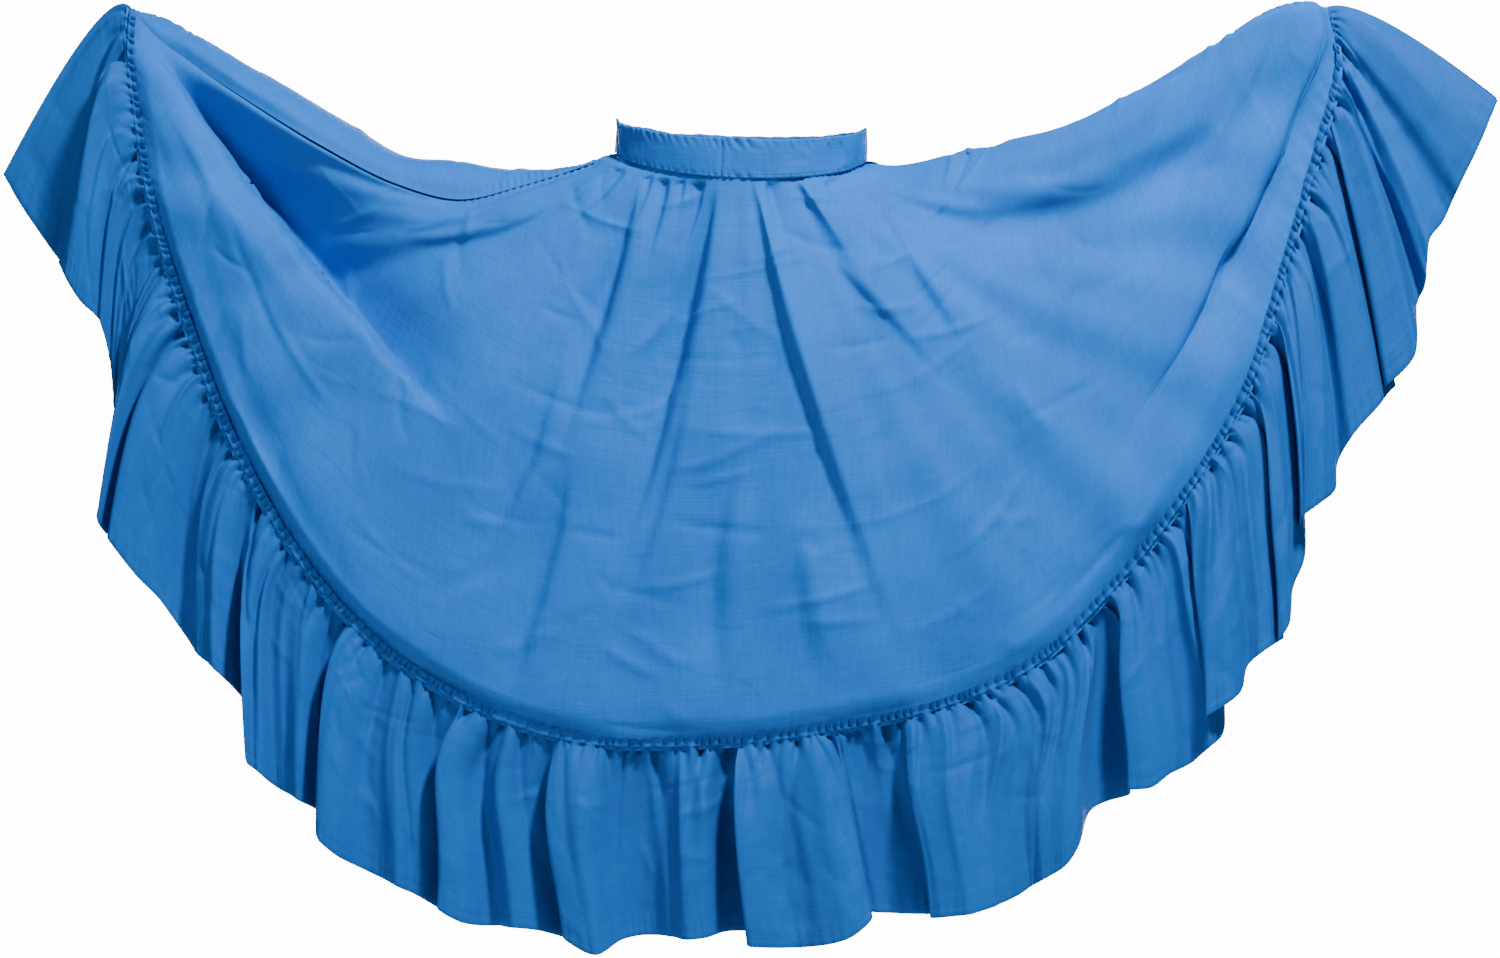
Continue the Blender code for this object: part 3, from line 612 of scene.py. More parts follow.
def panel_point(front, share, down, folded=True):
    """Outer surface of a panel: share runs from its left side to its right, down from waist to ruffle."""
    share, down = np.broadcast_arrays(np.asarray(share, float), np.asarray(down, float))
    outward = -1.0 if front else 1.0
    x, y, z = chord(front, share, down)
    z = z - sag(front, share, down, "left") - sag(front, share, down, "right")
    rise = (1 - np.exp(-share / WING_PUFF_SHARE)) * (1 - np.exp(-(1 - share) / WING_PUFF_SHARE))
    y = y + outward * WING_PUFF * arch(down) * rise
    if front:
        y = y - LEFT_SEAM_FORWARD * arch(down) * np.exp(-share / WING_FADE_SHARE)
    points = over_crest((x, y, z), front, share, down, "right" if front else "left")
    if not front:
        x, y, z = points
        y = y + RIGHT_SEAM_BACK * arch(down) * np.exp(-(1 - share) / WING_FADE_SHARE)
        points = (x, y, z)
    x, y, z = points
    if not folded:
        return np.stack([x, y, z], axis=-1)
    inward = np.minimum(share, 1 - share)
    height = fold_height(FRONT_FOLDS if front else BACK_FOLDS, x, z) * (1 - down ** FOLD_SEAM_FADE)
    inside = 1 - np.exp(-(inward / FOLD_FADE_SHARE) ** 2)
    if front:
        at_seam = 1 - down ** DROP_SEAM_FADE
        height = height + drop_height(FRONT_DROPS, x, z) * at_seam
        across, upward = reach_over([drop for drop in FRONT_DROPS if drop.over], x, z)
        x, z = x + across * at_seam * inside, z + upward * at_seam * inside
    return np.stack([x, y + outward * height * inside, z], axis=-1)


def unit(vectors):
    return vectors / np.maximum(np.linalg.norm(vectors, axis=-1, keepdims=True), 1e-12)


def side_parting(share, down):
    """Half the gap between the front and the back along a side seam."""
    at_waist = np.exp(-((down - WAIST_PARTING_DOWN) / WAIST_PARTING_REACH) ** 2)
    gap = SIDE_PARTING + HOLD_PARTING * down ** HOLD_CLOSING + WAIST_PARTING * at_waist
    near = np.exp(-share / PARTING_FADE_SHARE) + np.exp(-(1 - share) / PARTING_FADE_SHARE)
    return gap * near


def face_normals(grid):
    """Unit normals of a grid of points, found from its neighbours."""
    across = np.gradient(grid, axis=1)
    along = np.gradient(grid, axis=0)
    return unit(np.cross(across, along))


def rough_field(seed, across, along, count, sizes):
    """Smooth random hills and hollows, given at places in metres."""
    chance = np.random.default_rng(seed)
    total = np.zeros(np.broadcast(across, along).shape)
    for _ in range(count):
        size = chance.uniform(*sizes)
        turn = chance.uniform(0, 2 * np.pi)
        phase = chance.uniform(0, 2 * np.pi)
        total += np.sin((across * math.cos(turn) + along * math.sin(turn)) * 2 * np.pi / size + phase)
    return total / math.sqrt(count)


Crease = namedtuple("Crease", "across along turn length width depth")


def random_creases(seed, count, box, lengths, widths, depths, turns):
    """Short creases laid at random places in a box (across from, to, along from, to)."""
    chance = np.random.default_rng(seed)
    rows = []
    for _ in range(count):
        rows.append(Crease(
            chance.uniform(box[0], box[1]), chance.uniform(box[2], box[3]), chance.uniform(*turns),
            chance.uniform(*lengths), chance.uniform(*widths), chance.uniform(*depths) * chance.choice([-1, 1])))
    return rows


def crease_field(creases, across, along):
    """Sum of short straight creases, sharp across and fading along."""
    total = np.zeros(np.broadcast(across, along).shape)
    across, along = np.broadcast_arrays(across, along)
    for crease in creases:
        right = across - crease.across
        down = along - crease.along
        near = (np.abs(right) < crease.length) & (np.abs(down) < crease.length)
        cos, sin = math.cos(crease.turn), math.sin(crease.turn)
        run = (right[near] * cos + down[near] * sin) / (crease.length / 2)
        off = (down[near] * cos - right[near] * sin + 0.03 * crease.length * run * run) / crease.width
        total[near] += crease.depth * np.exp(-run ** 4) / (1 + off * off) ** 1.5
    return total


def spaced(steps, closer):
    """Places from 0 to 1, closer together where told: (place, reach, how much closer)."""
    fine = np.linspace(0, 1, 2001)
    weight = 1 + sum(gain * np.exp(-((fine - place) / reach) ** 2) for place, reach, gain in closer)
    weight = np.concatenate([[0.0], np.cumsum(weight[1:] + weight[:-1])])
    return np.interp(np.linspace(0, 1, steps + 1), weight / weight[-1], fine)


def panel_shares(front):
    return spaced(PANEL_COLUMNS[front], ((0.12, 0.10, 1.8), (0.93, 0.08, 1.2)))


def left_seam(grid, down, uneven):
    """The left side seam sinks in a groove, and below the band the cloth beside its opening is puckered."""
    beside = np.cumsum(np.linalg.norm(np.diff(grid, axis=1, prepend=grid[:, :1]), axis=-1), axis=1)
    sunk = np.clip((0.92 - down) / 0.3, 0, 1) * np.clip(down / 0.02, 0, 1)
    groove = -SEAM_SINK * np.exp(-(beside / SEAM_SINK_REACH) ** 2) * sunk
    opening = np.clip((OPENING_DOWN - down) / 0.03, 0, 1) * np.clip(down / 0.015, 0, 1)
    tucks = np.sin(2 * np.pi * down * 0.62 / OPENING_PITCH + 2.2 * uneven) * (1 + 0.4 * uneven)
    return groove + OPENING_TUCK * tucks * np.exp(-((beside - 0.009) / 0.009) ** 2) * opening


def seam_bulge(front, share, above):
    """How far the panel bulges just above the stitched line, most at the left, where the ruffle pulls it back."""
    ends = np.clip(np.minimum(share, 1 - share) / 0.04, 0, 1)
    left = np.clip((0.47 - share) / 0.16, 0, 1) * np.clip((share - 0.05) / 0.10, 0, 1) if front else 0.0
    rise = np.clip((above - BULGE_FROM) / (BULGE_TO - BULGE_FROM), 0, 1)
    fade = np.exp(-(np.maximum(above - BULGE_TO, 0) / BULGE_FADE) ** 2)
    return (SEAM_BULGE * (1 - left) + LEFT_BULGE * left) * rise * rise * (3 - 2 * rise) * fade * ends


def panel_grid(front):
    """The panel's outer points at full fineness, with its cut coordinates in metres."""
    share = panel_shares(front)[None, :]
    down = spaced(PANEL_STEPS[front], ((1.0, 0.06, 1.2), (0.15, 0.13, 1.0)))[:, None]
    share, down = np.broadcast_arrays(share, down)
    outward = -1.0 if front else 1.0
    grid = panel_point(front, share, down)
    normal = face_normals(grid)
    normal = normal * np.where(normal[..., 1:2] * outward < 0, -1.0, 1.0)
    radius = 0.127 + 0.680 * down
    across = (share - 0.5) * np.pi * 0.55
    flat_x = radius * np.sin(across)
    flat_y = radius * np.cos(across)
    quiet = np.clip(np.minimum(down, 1 - down) / 0.05, 0, 1) * np.clip(np.minimum(share, 1 - share) / 0.02, 0, 1)
    soft = 0.0016 * rough_field(11 if front else 12, flat_x, flat_y, 14, (0.10, 0.30))
    fanned = rough_field(13 if front else 14, share * SEAM_LENGTH, down * 0.22, 22, (0.07, 0.28))
    soft = soft + 0.0031 * fanned * (0.25 + 0.75 * down)
    creases = random_creases(21 if front else 22, 340, (-0.75, 0.75, 0.1, 0.80), (0.025, 0.095), (0.0035, 0.007),
                             (0.0009, 0.0026), (-1.5, 1.5))
    height = (soft + crease_field(creases, flat_x, flat_y)) * quiet
    short, _ = gathers(31 if front else 32, PUCKER_PITCH)
    above_seam = (1 - down) * 0.680
    pucker = gather_field(short, share * SEAM_LENGTH, 1.6 * above_seam) * np.clip(above_seam / 0.004, 0, 1)
    height = height + 0.0013 * pucker * np.clip(np.minimum(share, 1 - share) / 0.01, 0, 1)
    height = height + left_seam(grid, down, fanned) + seam_bulge(front, share, above_seam)
    grid = grid + normal * height[..., None]
    grid[..., 1] += outward * side_parting(share, down)
    uv = np.stack([flat_x, flat_y], axis=-1)
    return grid, uv


def panel_rows(front):
    grid, uv = panel_grid(front)
    tucked = grid[0] + np.array([0.0, 0.0, BAND_TUCK + PANEL_BELOW_BAND])
    share = panel_shares(front)
    plain = panel_point(front, np.stack([share, share]), np.array([[1.0 - HEADING_REACH], [1.0]]), False)
    away = unit(plain[1] - plain[0])
    rows = np.concatenate([tucked[None], grid, (grid[-1] + away * PANEL_MARGIN)[None]])
    uv = np.concatenate([uv[:1], uv, uv[-1:]])
    uv[0, :, 1] -= BAND_TUCK
    uv[-1, :, 1] += PANEL_MARGIN
    return rows, uv


def back_hem_rows():
    """Ridges and valleys of the back ruffle, unevenly spaced round its edge line and leaning over."""
    knots = column(BACK_EDGE, "share")
    rows = []
    for index in range(BACK_FOLD_SIDES + 1):
        swell = math.sin(math.pi * index / BACK_FOLD_SIDES)
        shift = BACK_FOLD_UNEVENNESS * math.sin(BACK_FOLD_SHIFT_TURN * index) * swell
        share = (index + shift) / BACK_FOLD_SIDES
        at_end = index in (0, BACK_FOLD_SIDES)
        change = BACK_FOLD_STAND_CHANGE * math.sin(BACK_FOLD_STAND_TURN * index)
        height = 0.0 if at_end else BACK_FOLD_STAND * (1 + change)
        ridge = index % 2 == 1
        lean = BACK_FOLD_LEAN * (0.7 + 0.3 * math.sin(5.1 * index)) / BACK_FOLD_SIDES
        place = share if at_end or not ridge else share - lean
        x = float(smooth(knots, column(BACK_EDGE, "x"), np.array(place)))
        z = float(smooth(knots, column(BACK_EDGE, "z"), np.array(place)))
        droop = BACK_FOLD_DROOP if ridge and not at_end else 0.0
        rows.append(Hem(share, x, z - droop, height if ridge else -height))
    return rows


def hem_point(front, rows, share):
    """The hem: where it is, and how far it stands out there. Each fold rises late and steeply to its ridge."""
    knots = column(rows, "share")
    x, z = (steady(knots, column(rows, name), share) for name in ("x", "z"))
    stands = column(rows, "stand")
    before = np.clip(np.searchsorted(knots, share, side="right") - 1, 0, len(knots) - 2)
    wide = knots[before + 1] - knots[before]
    part = np.clip((share - knots[before]) / wide, 0, 1)
    late = np.where(stands[before + 1] > stands[before], part ** FOLD_STEEPNESS, part)
    stand = steady(knots, stands, knots[before] + late * wide)
    depth, belly = (HEM_FRONT_Y, HEM_FRONT_BELLY) if front else (HEM_BACK_Y, HEM_BACK_BELLY)
    swell = np.sin(np.pi * share)
    y = belly * swell + depth * np.minimum(swell * HEM_END_RISE, 1)
    return np.stack([x, y, z], axis=-1), stand


def blurred(values, steps):
    """The values along a line, evened out over this many steps; the two ends stay."""
    reach = int(3 * steps)
    weights = np.exp(-(np.arange(-reach, reach + 1) / steps) ** 2)
    weights /= weights.sum()
    padded = np.concatenate([2 * values[:1] - values[reach:0:-1], values, 2 * values[-1:] - values[-2:-reach - 2:-1]])
    flat = padded.reshape(len(padded), -1)
    out = np.stack([np.convolve(flat[:, i], weights, "valid") for i in range(flat.shape[1])], axis=-1)
    return out.reshape(values.shape)


def length_along(points):
    return np.concatenate([[0.0], np.cumsum(np.linalg.norm(np.diff(points, axis=0), axis=-1))])


def ruffle_columns(front, rows):
    """Shares at which the ruffle's columns stand: closer where the folds hold more cloth."""
    fine = np.linspace(0, 1, 6001)
    hem, stand = hem_point(front, rows, fine)
    hem[:, 1] += (-1.0 if front else 1.0) * stand
    at_hem = length_along(hem)
    weight = SEAM_WEIGHT * fine + (1 - SEAM_WEIGHT) * at_hem / at_hem[-1]
    return np.interp(np.linspace(0, 1, RUFFLE_COLUMNS[front] + 1), weight, fine)


Gather = namedtuple("Gather", "place width depth start reach drift spread")


def gathers(seed, pitch):
    """The gathers on the stitched line, unevenly spaced: short ones that soon fade, and longer, wider ones."""
    chance = np.random.default_rng(seed)
    short, long = [], []
    place = 0.5 * pitch
    while place < SEAM_LENGTH:
        short.append(Gather(place, 0.22 * pitch, chance.uniform(0.4, 1.35), 0.0, chance.uniform(0.012, 0.040),
                            chance.uniform(-0.14, 0.14), 0.09))
        place += pitch * chance.uniform(0.5, 1.6)
    place = pitch
    while place < SEAM_LENGTH:
        long.append(Gather(place, 0.34 * pitch, chance.uniform(0.4, 1.7), 0.010, chance.uniform(0.05, 0.19),
                           chance.uniform(-0.20, 0.20), 0.06))
        place += 2.6 * pitch * chance.uniform(0.55, 1.5)
    return short, long


def hanging_folds(seed):
    """Small folds that hang from the gathers down to the hem, between the large ones."""
    chance = np.random.default_rng(seed)
    rows = []
    place = 0.02
    while place < SEAM_LENGTH:
        rows.append(Gather(place, chance.uniform(0.0025, 0.0055), chance.uniform(-0.9, 1.0), chance.uniform(0.01, 0.08),
                           chance.uniform(0.10, 0.45), chance.uniform(-0.13, 0.13), 0.022))
        place += chance.uniform(0.008, 0.030)
    return rows


def gather_field(rows, along, depth):
    """Valleys below the stitched line: narrow at the line, wider and fainter further down."""
    total = np.zeros(np.broadcast(along, depth).shape)
    for row in rows:
        width = row.width + row.spread * depth
        off = (along - row.place - row.drift * depth) / width
        fade = np.exp(-(depth / row.reach) ** 1.4)
        if row.start:
            fade = fade * (0.2 + 0.8 * (1 - np.exp(-depth / row.start)))
        total -= row.depth * fade / (1 + off * off) ** 1.5
    return total


def ruffle_puff(share):
    """How far the ruffle puffs out from its seam: not at the ends, where front and back are sewn together."""
    return RUFFLE_PUFF * (1 - np.exp(-(np.minimum(share, 1 - share) / END_PUFF_SHARE) ** 2))


def ruffle_rows(front, sewing):
    """The ruffle's inner points, moved out from the panel's edge: heading, stitched line, down to the hem.

    The rows down to the last gathered depth have twice as many points as the rows below them.
    """
    rows = FRONT_HEM if front else back_hem_rows()
    coarse = ruffle_columns(front, rows)
    share = np.interp(np.arange(2 * len(coarse) - 1) / 2, np.arange(len(coarse)), coarse)
    outward = -1.0 if front else 1.0
    ones = np.ones_like(share)
    start = panel_point(front, share, ones)
    above = panel_point(front, share, ones * (1 - HEADING_REACH), False)
    start[:, 1] += outward * side_parting(share, 1.0)
    above[:, 1] += outward * side_parting(share, 1.0)
    away = blurred(unit(start - above), 12)
    along = np.gradient(start, axis=0)
    side = unit(np.cross(along, away)) * outward
    tangent = unit(along)
    place = length_along(start) * SEAM_LENGTH / length_along(start)[-1]
    at_ends = np.clip(np.minimum(place, SEAM_LENGTH - place) / 0.012, 0, 1)
    hem, stand = hem_point(front, rows, share)
    hem, stand = blurred(hem, 5), blurred(stand, 5)
    even_hem = blurred(hem, 2 * FOLD_EVENING)
    swing_hem = hem - even_hem
    bend = start + away * RUFFLE_KICK + side * (ruffle_puff(share) + SEAM_GAP)[:, None]
    bend[:, 1] -= outward * side_parting(share, 1.0)
    pitch = sewing.gather_pitch
    short, long = gathers(31 if front else 32, pitch)
    chance = np.random.default_rng(41 if front else 42)
    sway = blurred(chance.normal(0, 1, len(share)), 6.0)
    sway /= np.abs(sway).max()
    stitched = start + side * SEAM_GAP
    valleys = np.array([row.place for row in short])
    phase = 2 * np.pi * np.interp(place, valleys, np.arange(len(valleys)))
    size = np.interp(place, valleys, [row.depth for row in short])
    lobe = 0.5 - 0.5 * np.cos(phase + 1.4 * sway)
    hanging = hanging_folds(35 if front else 36)
    for inward, size_here, drift in TIP_FOLDS:
        hanging.append(Gather(inward, 0.009, size_here, 0.05, 0.60, drift, 0.075))
        hanging.append(Gather(SEAM_LENGTH - inward, 0.009, size_here, 0.05, 0.60, -drift, 0.075))
    loose = np.clip(np.minimum(place, SEAM_LENGTH - place) / 0.09, 0, 1)
    out = []
    for height in HEADING_HEIGHTS:
        up = height / HEADING
        lift = sewing.heading_wave * (0.25 + size) * (0.04 + lobe) * up ** 0.6 * at_ends
        lean = -0.0030 * (0.3 + 0.7 * size) * np.sin(phase) * up * at_ends + 0.0030 * sway * up * at_ends
        ruck = (0.0016 * np.cos(phase + 3 * sway) + 0.0022 * sway) * up * at_ends
        lift = lift + seam_bulge(front, share, height)
        out.append(start - away * (height - ruck)[:, None] + side * (SEAM_GAP + lift)[:, None]
                   + tangent * lean[:, None])
    creases = random_creases(51 if front else 52, 260, (0, SEAM_LENGTH, 0.03, 0.25), (0.025, 0.075),
                             (0.0035, 0.007), (0.0006, 0.0018), (-1.3, 1.3))
    uneven = FOLD_GROWTH * np.exp(0.55 * rough_field(71 if front else 72, place, 0 * place, 9, (0.05, 0.30)))
    wander = rough_field(73 if front else 74, place, 0 * place, 6, (0.10, 0.50))
    for depth in GATHERED_DEPTHS + LOWER_DEPTHS:
        level = depth / RUFFLE_DROP
        grown = ((1 - np.exp(-level / uneven)) / (1 - np.exp(-1 / uneven)))[:, None]
        curve = stitched * (1 - level) ** 2 + 2 * bend * level * (1 - level) + even_hem * level ** 2
        curve = curve + swing_hem * grown
        face = unit(side * (1 - level) + np.array([0.0, outward, 0.0]) * level)
        here = np.full_like(place, depth)
        swing = gather_field(short, place, here) * min(0.25 + depth / 0.006, 1) + gather_field(long, place, here)
        swing = sewing.gather_depth * (swing + 0.5 * math.exp(-depth / 0.04))
        small_folds = HANGING_DEPTH * gather_field(hanging, place, here)
        swing = swing + np.maximum(small_folds, 0) + np.minimum(small_folds, 0) * loose
        small = crease_field(creases, place, here) * min(depth / 0.03, 1)
        pucker = 0.0
        if depth > RUFFLE_DROP - 1.6 * HEM_DEPTH:
            pucker = HEM_THICKNESS + 0.0006 * np.sin(2 * np.pi * place / 0.0085 + 4 * sway)
        if abs(depth - (RUFFLE_DROP - HEM_DEPTH)) < 0.0022:
            pucker = pucker - 0.0009
        curve = curve + face * ((swing + small) * at_ends + pucker)[:, None]
        curve = curve + tangent * (FOLD_WANDER * np.sin(2 * np.pi * level * 0.9 + 2.2 * wander) * wander
                                   * math.sin(math.pi * level) * loose)[:, None]
        curve[:, 1] += outward * (stand * grown[:, 0] + side_parting(share, 0.0))
        out.append(curve if depth <= GATHERED_DEPTHS[-1] else curve[::2])
    hem_down = unit(out[-1] - out[-3])
    hem_face = unit(np.cross(np.gradient(out[-1], axis=0), hem_down)) * outward
    edge = out[-1]
    for depth, inside in HEM_TURN:
        out.append(edge + hem_down * (depth - RUFFLE_DROP) - hem_face * inside)
    depths = [-h for h in HEADING_HEIGHTS] + list(GATHERED_DEPTHS + LOWER_DEPTHS)
    depths += [RUFFLE_DROP + HEM_DEPTH * (turn + 1) / len(HEM_TURN) for turn in range(len(HEM_TURN))]
    uvs = [np.stack([place[:: 2 if len(row) < len(place) else 1] * 1.6, np.full(len(row), depth)], axis=-1)
           for row, depth in zip(out, depths)]
    return out, uvs


def cloth_sheet(name, rows, uvs, faces_back):
    """A sheet through these rows of points, top row first; a row may have half as many points as the one above."""
    starts = np.concatenate([[0], np.cumsum([len(row) for row in rows])])
    faces = []
    for index in range(len(rows) - 1):
        above, below = len(rows[index]), len(rows[index + 1])
        ratio = (above - 1) // (below - 1)
        step = np.arange(below - 1)
        low = starts[index + 1] + step
        high = starts[index] + ratio * step
        corners = [low, low + 1] + [high + k for k in range(ratio, -1, -1)]
        faces += np.stack(corners, axis=-1).tolist()
    if faces_back:
        faces = [face[::-1] for face in faces]
    data = bpy.data.meshes.new(name)
    data.from_pydata(np.concatenate(rows).tolist(), [], faces)
    corners = np.empty(len(data.loops), np.int32)
    data.loops.foreach_get("vertex_index", corners)
    layer = data.uv_layers.new(name="Cut")
    layer.data.foreach_set("uv", np.concatenate(uvs)[corners].astype(np.float32).ravel())
    data.update()
    piece = bpy.data.objects.new(name, data)
    bpy.context.scene.collection.objects.link(piece)
    data.shade_smooth()
    return piece


def add_wall(piece, thickness, outward):
    wall = piece.modifiers.new("Wall", "SOLIDIFY")
    wall.thickness = thickness
    wall.offset = 1.0 if outward else -1.0
    wall.use_even_offset = False
    wall.use_quality_normals = True


def plain_mesh(piece):
    """Turns a piece with its modifiers into a plain mesh."""
    graph = bpy.context.evaluated_depsgraph_get()
    data = bpy.data.meshes.new_from_object(piece.evaluated_get(graph), depsgraph=graph)
    data.name = piece.name
    piece.modifiers.clear()
    piece.data = data
    return piece


class Number:
    """A number in a material; arithmetic on it adds Math nodes."""

    def __init__(self, tree, socket):
        self.tree = tree
        self.socket = socket

    def math(self, operation, *values):
        return self.tree.add("ShaderNodeMath", {"operation": operation}, dict(enumerate(values)))

    def __add__(self, other):
        return self.math("ADD", self, other)

    __radd__ = __add__

    def __mul__(self, other):
        return self.math("MULTIPLY", self, other)

    __rmul__ = __mul__

    def __sub__(self, other):
        return self.math("SUBTRACT", self, other)

    def __rsub__(self, other):
        return self.math("SUBTRACT", other, self)

    def __pow__(self, other):
        return self.math("POWER", self, other)

    def size(self):
        return self.math("ABSOLUTE", self)


class Tree:
    """A material's nodes, added one at a time."""

    def __init__(self, nodes, links):
        self.nodes = nodes
        self.links = links

    def add(self, kind, settings=None, sockets=None, out=0):
        node = self.nodes.new(kind)
        for name, value in (settings or {}).items():
            setattr(node, name, value)
        for key, value in (sockets or {}).items():
            if isinstance(value, Number):
                self.links.new(value.socket, node.inputs[key])
            else:
                node.inputs[key].default_value = value
        return Number(self, node.outputs[out])


def cloth_material(name, cloth, painted_shade_factor):
    """Plain-weave poly-cotton: fine threads, slubs, and small creases pressed in by wear, with painted shade: the dye
    is scaled by a shade factor and the creases are painted darker.
    """
    material = bpy.data.materials.new(name)
    material.use_nodes = True
    links = material.node_tree.links
    tree = Tree(material.node_tree.nodes, links)
    shader = material.node_tree.nodes["Principled BSDF"]
    cut = tree.add("ShaderNodeUVMap", {"uv_map": "Cut"})
    split = tree.nodes.new("ShaderNodeSeparateXYZ")
    links.new(cut.socket, split.inputs[0])
    across, along = Number(tree, split.outputs[0]), Number(tree, split.outputs[1])
    turns = 2 * math.pi / cloth.thread
    weft = (across * turns).math("SINE", across * turns)
    warp = (along * turns).math("SINE", along * turns)
    weave = weft * warp

    def slub(right, down):
        place = tree.add("ShaderNodeCombineXYZ", {}, {0: across * right, 1: along * down})
        return tree.add("ShaderNodeTexNoise", {}, {"Vector": place, "Scale": 1.0, "Detail": 2.0})

    def noise(scale, detail):
        return tree.add("ShaderNodeTexNoise", {}, {"Vector": cut, "Scale": scale, "Detail": detail})

    def pressed(scale, sharp):
        ridge = 1.0 - (noise(scale, 1.5) * 2.0 - 1.0).size() * 2.2
        return ridge.math("MAXIMUM", ridge, 0.0) ** sharp

    slubs = slub(28.0, 400.0) + slub(400.0, 28.0)
    patches = noise(4.5, 1.0)
    creased = pressed(11.0, 10.0) * patches * 0.5 + pressed(30.0, 9.0) * (1.0 - patches) * 0.2
    worn = noise(9.0, 2.0)
    # Random tone from wear and slubs, plus painted shade: the pressed creases pull the colour towards the dark end.
    tone_and_crease_shade = tree.add("ShaderNodeMapRange", {"clamp": True},
                    {"Value": worn + slubs * 0.6 - creased * 0.4, "From Min": 0.4, "From Max": 1.7})
    # Painted shade: the dye is multiplied by the shade factor passed in, which darkens pieces that are no darker in the
    # real cloth.
    base = [part * painted_shade_factor for part in cloth.colour]
    deep = [part * 0.74 for part in base]
    light = [min(1.0, part * 1.24 + 0.004) for part in base]
    colour = tree.add("ShaderNodeMix", {"data_type": "RGBA"}, {0: tone_and_crease_shade, 6: (*deep, 1.0), 7: (*light, 1.0)}, 2)
    links.new(colour.socket, shader.inputs["Base Color"])
    rough = cloth.roughness - 0.04 + worn * 0.08
    links.new(rough.socket, shader.inputs["Roughness"])
    height = creased * (-0.0007 * cloth.crumple) + slubs * 0.00022 + weave * 0.00004 + noise(45.0, 2.0) * 0.0005
    bump = tree.add("ShaderNodeBump", {}, {"Height": height, "Strength": 0.9, "Distance": 1.0})
    links.new(bump.socket, shader.inputs["Normal"])
    shader.inputs["Sheen Weight"].default_value = cloth.sheen
    shader.inputs["Sheen Roughness"].default_value = 0.4
    shader.inputs["Sheen Tint"].default_value = (0.55, 0.78, 1.0, 1.0)
    shader.inputs["Specular IOR Level"].default_value = 0.05
    return material


def thread_material(name, cloth):
    """Spun sewing thread, a little darker than the cloth."""
    material = bpy.data.materials.new(name)
    material.use_nodes = True
    links = material.node_tree.links
    tree = Tree(material.node_tree.nodes, links)
    shader = material.node_tree.nodes["Principled BSDF"]
    place = tree.add("ShaderNodeTexCoord", out=3)
    plies = tree.add("ShaderNodeTexNoise", {}, {"Vector": place, "Scale": 2600.0, "Detail": 1.0})
    dark = (*(part * 0.55 for part in cloth.colour), 1.0)
    light = (*(part * 0.95 for part in cloth.colour), 1.0)
    colour = tree.add("ShaderNodeMix", {"data_type": "RGBA"}, {0: plies, 6: dark, 7: light}, 2)
    links.new(colour.socket, shader.inputs["Base Color"])
    rough = 0.45 + plies * 0.2
    links.new(rough.socket, shader.inputs["Roughness"])
    bump = tree.add("ShaderNodeBump", {}, {"Height": plies * 0.00006, "Strength": 0.8, "Distance": 1.0})
    links.new(bump.socket, shader.inputs["Normal"])
    shader.inputs["Specular IOR Level"].default_value = 0.25
    return material


def stitch_tree(material):
    """Puts a short straight stitch at every step of a line, turned along it and slightly uneven in length."""
    group = bpy.data.node_groups.new("stitches", "GeometryNodeTree")
    face = group.interface
    face.new_socket("Line", in_out="INPUT", socket_type="NodeSocketGeometry")
    for name in ("Pitch", "Length", "Radius"):
        face.new_socket(name, in_out="INPUT", socket_type="NodeSocketFloat")
    face.new_socket("Stitches", in_out="OUTPUT", socket_type="NodeSocketGeometry")
    inside = group.nodes.new("NodeGroupInput")
    line = group.nodes.new("GeometryNodeMeshToCurve")
    points = group.nodes.new("GeometryNodeCurveToPoints")
    points.mode = "LENGTH"
    stitch = group.nodes.new("GeometryNodeMeshCylinder")
    stitch.fill_type = "NGON"
    stitch.inputs["Vertices"].default_value = STITCH_SIDES
    uneven = group.nodes.new("FunctionNodeRandomValue")
    uneven.data_type = "FLOAT_VECTOR"
    uneven.inputs["Min"].default_value = (0.92, 0.92, 0.84)
    uneven.inputs["Max"].default_value = (1.08, 1.08, 1.10)
    uneven.inputs["Seed"].default_value = STITCH_SEED
    copies = group.nodes.new("GeometryNodeInstanceOnPoints")
    real = group.nodes.new("GeometryNodeRealizeInstances")
    dyed = group.nodes.new("GeometryNodeSetMaterial")
    dyed.inputs["Material"].default_value = material
    outside = group.nodes.new("NodeGroupOutput")
    for source, target in (
            (inside.outputs["Line"], line.inputs["Mesh"]), (line.outputs["Curve"], points.inputs["Curve"]),
            (inside.outputs["Pitch"], points.inputs["Length"]), (inside.outputs["Length"], stitch.inputs["Depth"]),
            (inside.outputs["Radius"], stitch.inputs["Radius"]), (points.outputs["Points"], copies.inputs["Points"]),
            (stitch.outputs["Mesh"], copies.inputs["Instance"]), (points.outputs["Rotation"], copies.inputs["Rotation"]),
            (uneven.outputs["Value"], copies.inputs["Scale"]), (copies.outputs["Instances"], real.inputs["Geometry"]),
            (real.outputs["Geometry"], dyed.inputs["Geometry"]), (dyed.outputs["Geometry"], outside.inputs["Stitches"])):
        group.links.new(source, target)
    return group


def line_beside(rows, index, height, outward):
    """The points of one row of a sheet, lifted off its outer face by this much."""
    row = rows[index]
    down = rows[index + 1] - rows[index - 1]
    normal = unit(np.cross(np.gradient(row, axis=0), down))
    if normal[:, 1].mean() * outward < 0:
        normal = -normal
    return row + normal * height


